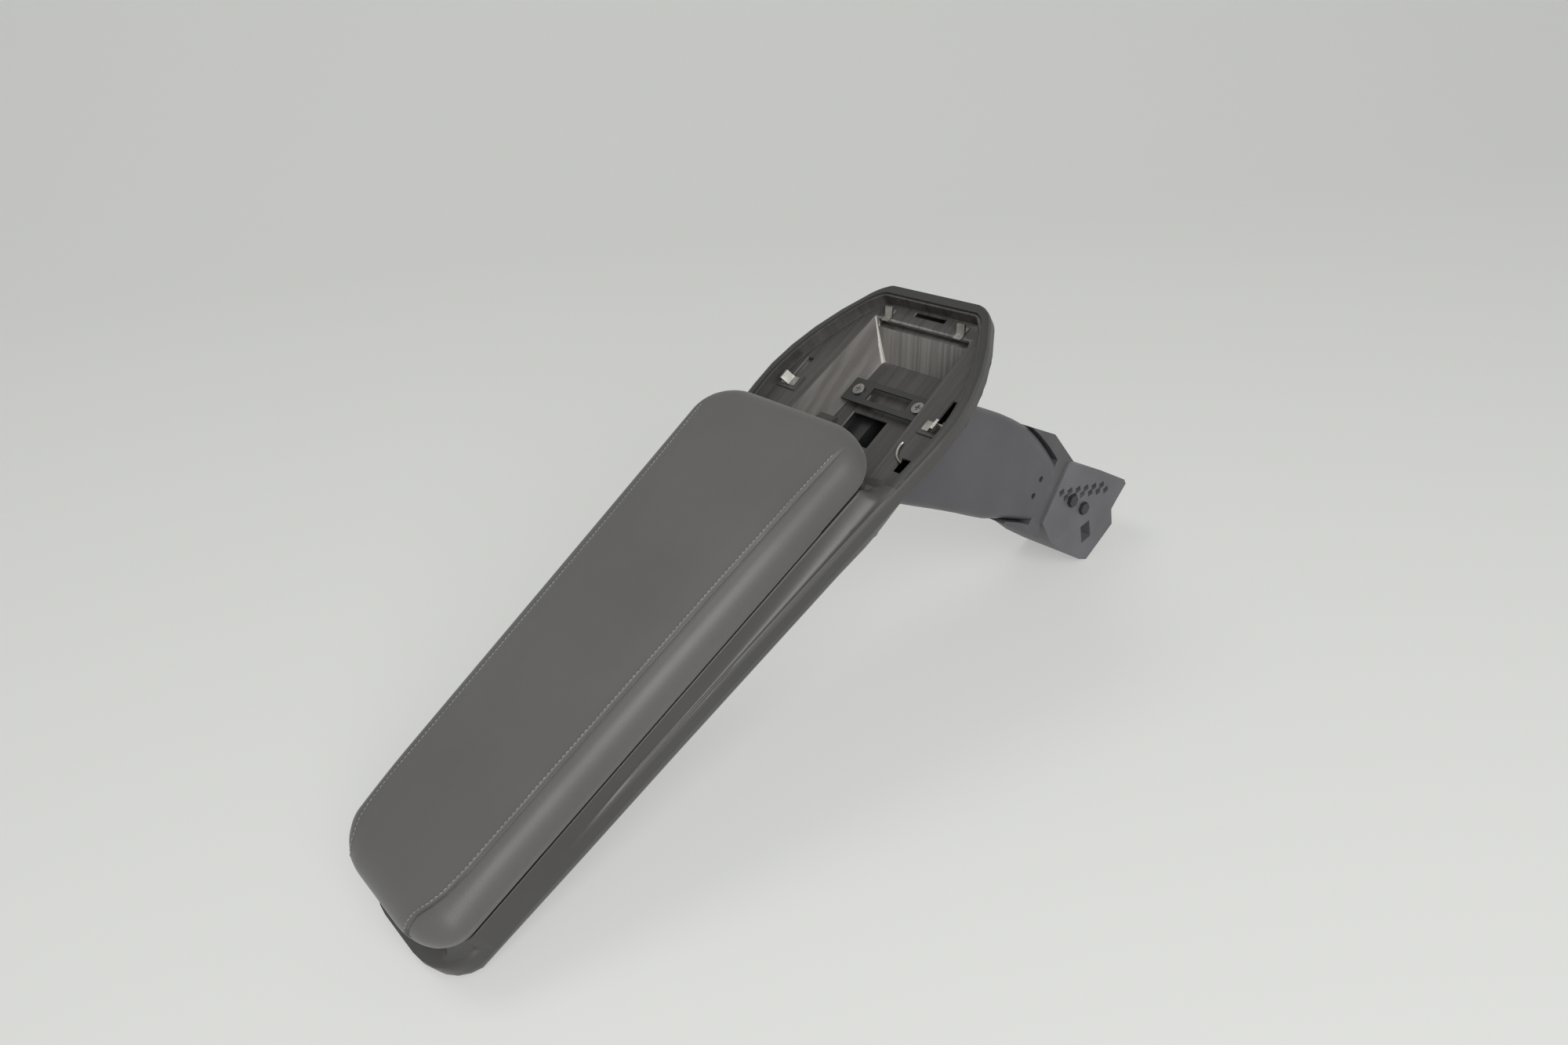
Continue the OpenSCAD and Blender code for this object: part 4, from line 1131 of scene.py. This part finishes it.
@dataclass
class Studio:
    """A plain pale sweep, a soft lamp beside the camera and the photograph's camera."""

    eye: tuple[float, float, float] = (0.45305, -0.35977, 0.70358)
    ahead: tuple[float, float, float] = (-0.68673, 0.25269, -0.68158)
    up: tuple[float, float, float] = (-0.31136, 0.74502, 0.58992)
    focal_px: float = 1406.0
    frame_px: float = 2000.0
    sensor_mm: float = 36.0
    clip: tuple[float, float] = (0.01, 50.0)
    room_up: tuple[float, float, float] = (0.0, 0.488, 0.873)
    floor_point: tuple[float, float, float] = (0.0, -0.019, 0.0)
    pale: str = "#dfe0dd"
    paint_rough: float = 0.6
    paint_gloss: float = 0.2
    sweep_back: float = 5.0
    sweep_at: float = 1.1
    sweep_r: float = 1.4
    sweep_steps: int = 24
    wall_h: float = 6.0
    half_w: float = 7.0
    floor_gap: float = 0.0005
    own_share: float = 0.5
    room_light: float = 0.34
    room_seen: float = 0.95
    aim: tuple[float, float, float] = (0.0, -0.2, 0.25)
    lamps: tuple[Lamp, ...] = (
        Lamp("camera_lamp", back=1.0, up=0.12, right=0.2, distance=1.7, size=1.2, watts=27.0),
        Lamp("ceiling_lamp", back=0.0, up=1.0, right=-0.5, distance=2.6, size=1.0, watts=13.0),
    )

    def camera(self) -> None:
        """Places the camera where the photograph's was."""
        ahead = Vector(self.ahead).normalized()
        up = Vector(self.up)
        right = ahead.cross(up).normalized()
        up = right.cross(ahead)
        data = bpy.data.cameras.new("photo_camera")
        data.sensor_width = self.sensor_mm
        data.lens = self.sensor_mm * self.focal_px / self.frame_px
        data.clip_start, data.clip_end = self.clip
        camera = bpy.data.objects.new("photo_camera", data)
        turn = Matrix((right, up, -ahead)).transposed().to_4x4()
        camera.matrix_world = Matrix.Translation(Vector(self.eye)) @ turn
        bpy.context.scene.collection.objects.link(camera)
        bpy.context.scene.camera = camera

    def seen(self, tree: bpy.types.NodeTree) -> bpy.types.NodeSocket:
        """One for rays from the camera, off gloss or through glass, and nought for other light."""
        path = add_node(tree, "ShaderNodeLightPath").outputs
        either = add_node(
            tree,
            "ShaderNodeMath",
            {"operation": "MAXIMUM"},
            {0: path["Is Camera Ray"], 1: path["Is Glossy Ray"]},
        ).outputs["Value"]
        return add_node(
            tree, "ShaderNodeMath", {"operation": "MAXIMUM"}, {0: either, 1: path["Is Transmission Ray"]}
        ).outputs["Value"]

    def backdrop(self) -> bpy.types.Material:
        """Pale paint, part of it in its own even tone, and clear from behind so that no view is blocked."""
        material = bpy.data.materials.new("pale_floor_paint")
        material.use_nodes = True
        tree = material.node_tree
        tree.nodes.clear()
        paint = add_node(
            tree,
            "ShaderNodeBsdfPrincipled",
            None,
            {
                "Base Color": linear(self.pale),
                "Roughness": self.paint_rough,
                "Specular IOR Level": self.paint_gloss,
            },
        )
        even = add_node(tree, "ShaderNodeEmission", None, {"Color": linear(self.pale), "Strength": 1.0})
        share = add_node(
            tree, "ShaderNodeMath", {"operation": "MULTIPLY"}, {0: self.seen(tree), 1: self.own_share}
        ).outputs["Value"]
        front = add_node(
            tree,
            "ShaderNodeMixShader",
            None,
            {0: share, 1: paint.outputs["BSDF"], 2: even.outputs["Emission"]},
        )
        clear = add_node(tree, "ShaderNodeBsdfTransparent")
        back = add_node(tree, "ShaderNodeNewGeometry").outputs["Backfacing"]
        mix = add_node(
            tree,
            "ShaderNodeMixShader",
            None,
            {0: back, 1: front.outputs["Shader"], 2: clear.outputs["BSDF"]},
        )
        add_node(tree, "ShaderNodeOutputMaterial", None, {"Surface": mix.outputs["Shader"]})
        return material

    def floor(self) -> None:
        """Builds the sweep: a floor under the tail and the foot's heel that curves up far behind.

        Along the view the path is straight, then a quarter circle, then straight up.
        """
        normal = np.array(Vector(self.room_up).normalized())
        ahead = np.array(self.ahead)
        along = ahead - normal * (ahead @ normal)
        along /= np.linalg.norm(along)
        side = np.cross(along, normal)
        turn = np.linspace(0, math.pi / 2, self.sweep_steps)
        last = self.sweep_at + self.sweep_r
        run = np.concatenate([[-self.sweep_back], self.sweep_at + self.sweep_r * np.sin(turn), [last]])
        rise = np.concatenate([[0.0], self.sweep_r * (1 - np.cos(turn)), [self.wall_h]])
        across = np.linspace(-self.half_w, self.half_w, 3)
        points = (
            np.array(self.floor_point)
            - normal * self.floor_gap
            + (along[None] * run[:, None] + normal[None] * rise[:, None])[:, None]
            + side[None, None] * across[None, :, None]
        )
        faces = grid_faces(len(run), len(across))
        floor = new_piece("studio_sweep", points, faces, self.backdrop())

    def light(self, lamp: Lamp) -> None:
        """Stands a lamp on its way out from the arm and turns it to look back at it."""
        rise = Vector(self.room_up).normalized()
        ahead = Vector(self.ahead).normalized()
        right = ahead.cross(Vector(self.up)).normalized()
        direction = (-ahead * lamp.back + rise * lamp.up + right * lamp.right).normalized()
        data = bpy.data.lights.new(lamp.name, "AREA")
        data.energy, data.size = lamp.watts, lamp.size
        stand = bpy.data.objects.new(lamp.name, data)
        stand.location = Vector(self.aim) + direction * lamp.distance
        stand.rotation_mode = "QUATERNION"
        stand.rotation_quaternion = direction.to_track_quat("Z", "Y")
        bpy.context.scene.collection.objects.link(stand)

    def world(self) -> None:
        """Even pale surroundings, a little dimmer as light than they look."""
        world = bpy.data.worlds.new("pale_room")
        world.use_nodes = True
        bpy.context.scene.world = world
        tree = world.node_tree
        tree.nodes.clear()
        strength = add_node(
            tree,
            "ShaderNodeMapRange",
            None,
            {"Value": self.seen(tree), "To Min": self.room_light, "To Max": self.room_seen},
        ).outputs["Result"]
        glow = add_node(
            tree, "ShaderNodeBackground", None, {"Color": linear(self.pale), "Strength": strength}
        )
        add_node(tree, "ShaderNodeOutputWorld", None, {"Surface": glow.outputs["Background"]})

    def build(self) -> None:
        """Sets up the camera, floor, lamps and colour view."""
        self.camera()
        self.floor()
        self.world()
        for lamp in self.lamps:
            self.light(lamp)
        bpy.context.scene.view_settings.view_transform = "Standard"


def main() -> None:
    """Builds the armrest's pieces in order and reports each one."""
    logging.basicConfig(level=logging.INFO, format="%(message)s")
    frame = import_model()
    Studio().build()
    palette = Palette()
    paint = {name: getattr(palette, name).build() for name in palette.__dataclass_fields__}
    slots = {row["node"]: row["material_slot"] for row in frame["record"]["subparts"]}
    pieces = Lid(paint).build()
    pieces += Shoulder(paint).build()
    pieces += PocketCorners(paint).build()
    pieces += HardPieces(paint, frame["nodes"]).build(slots)
    for piece in pieces:
        log.info("%s: %d faces", piece.name, len(piece.data.polygons))


if __name__ == "__main__":
    main()
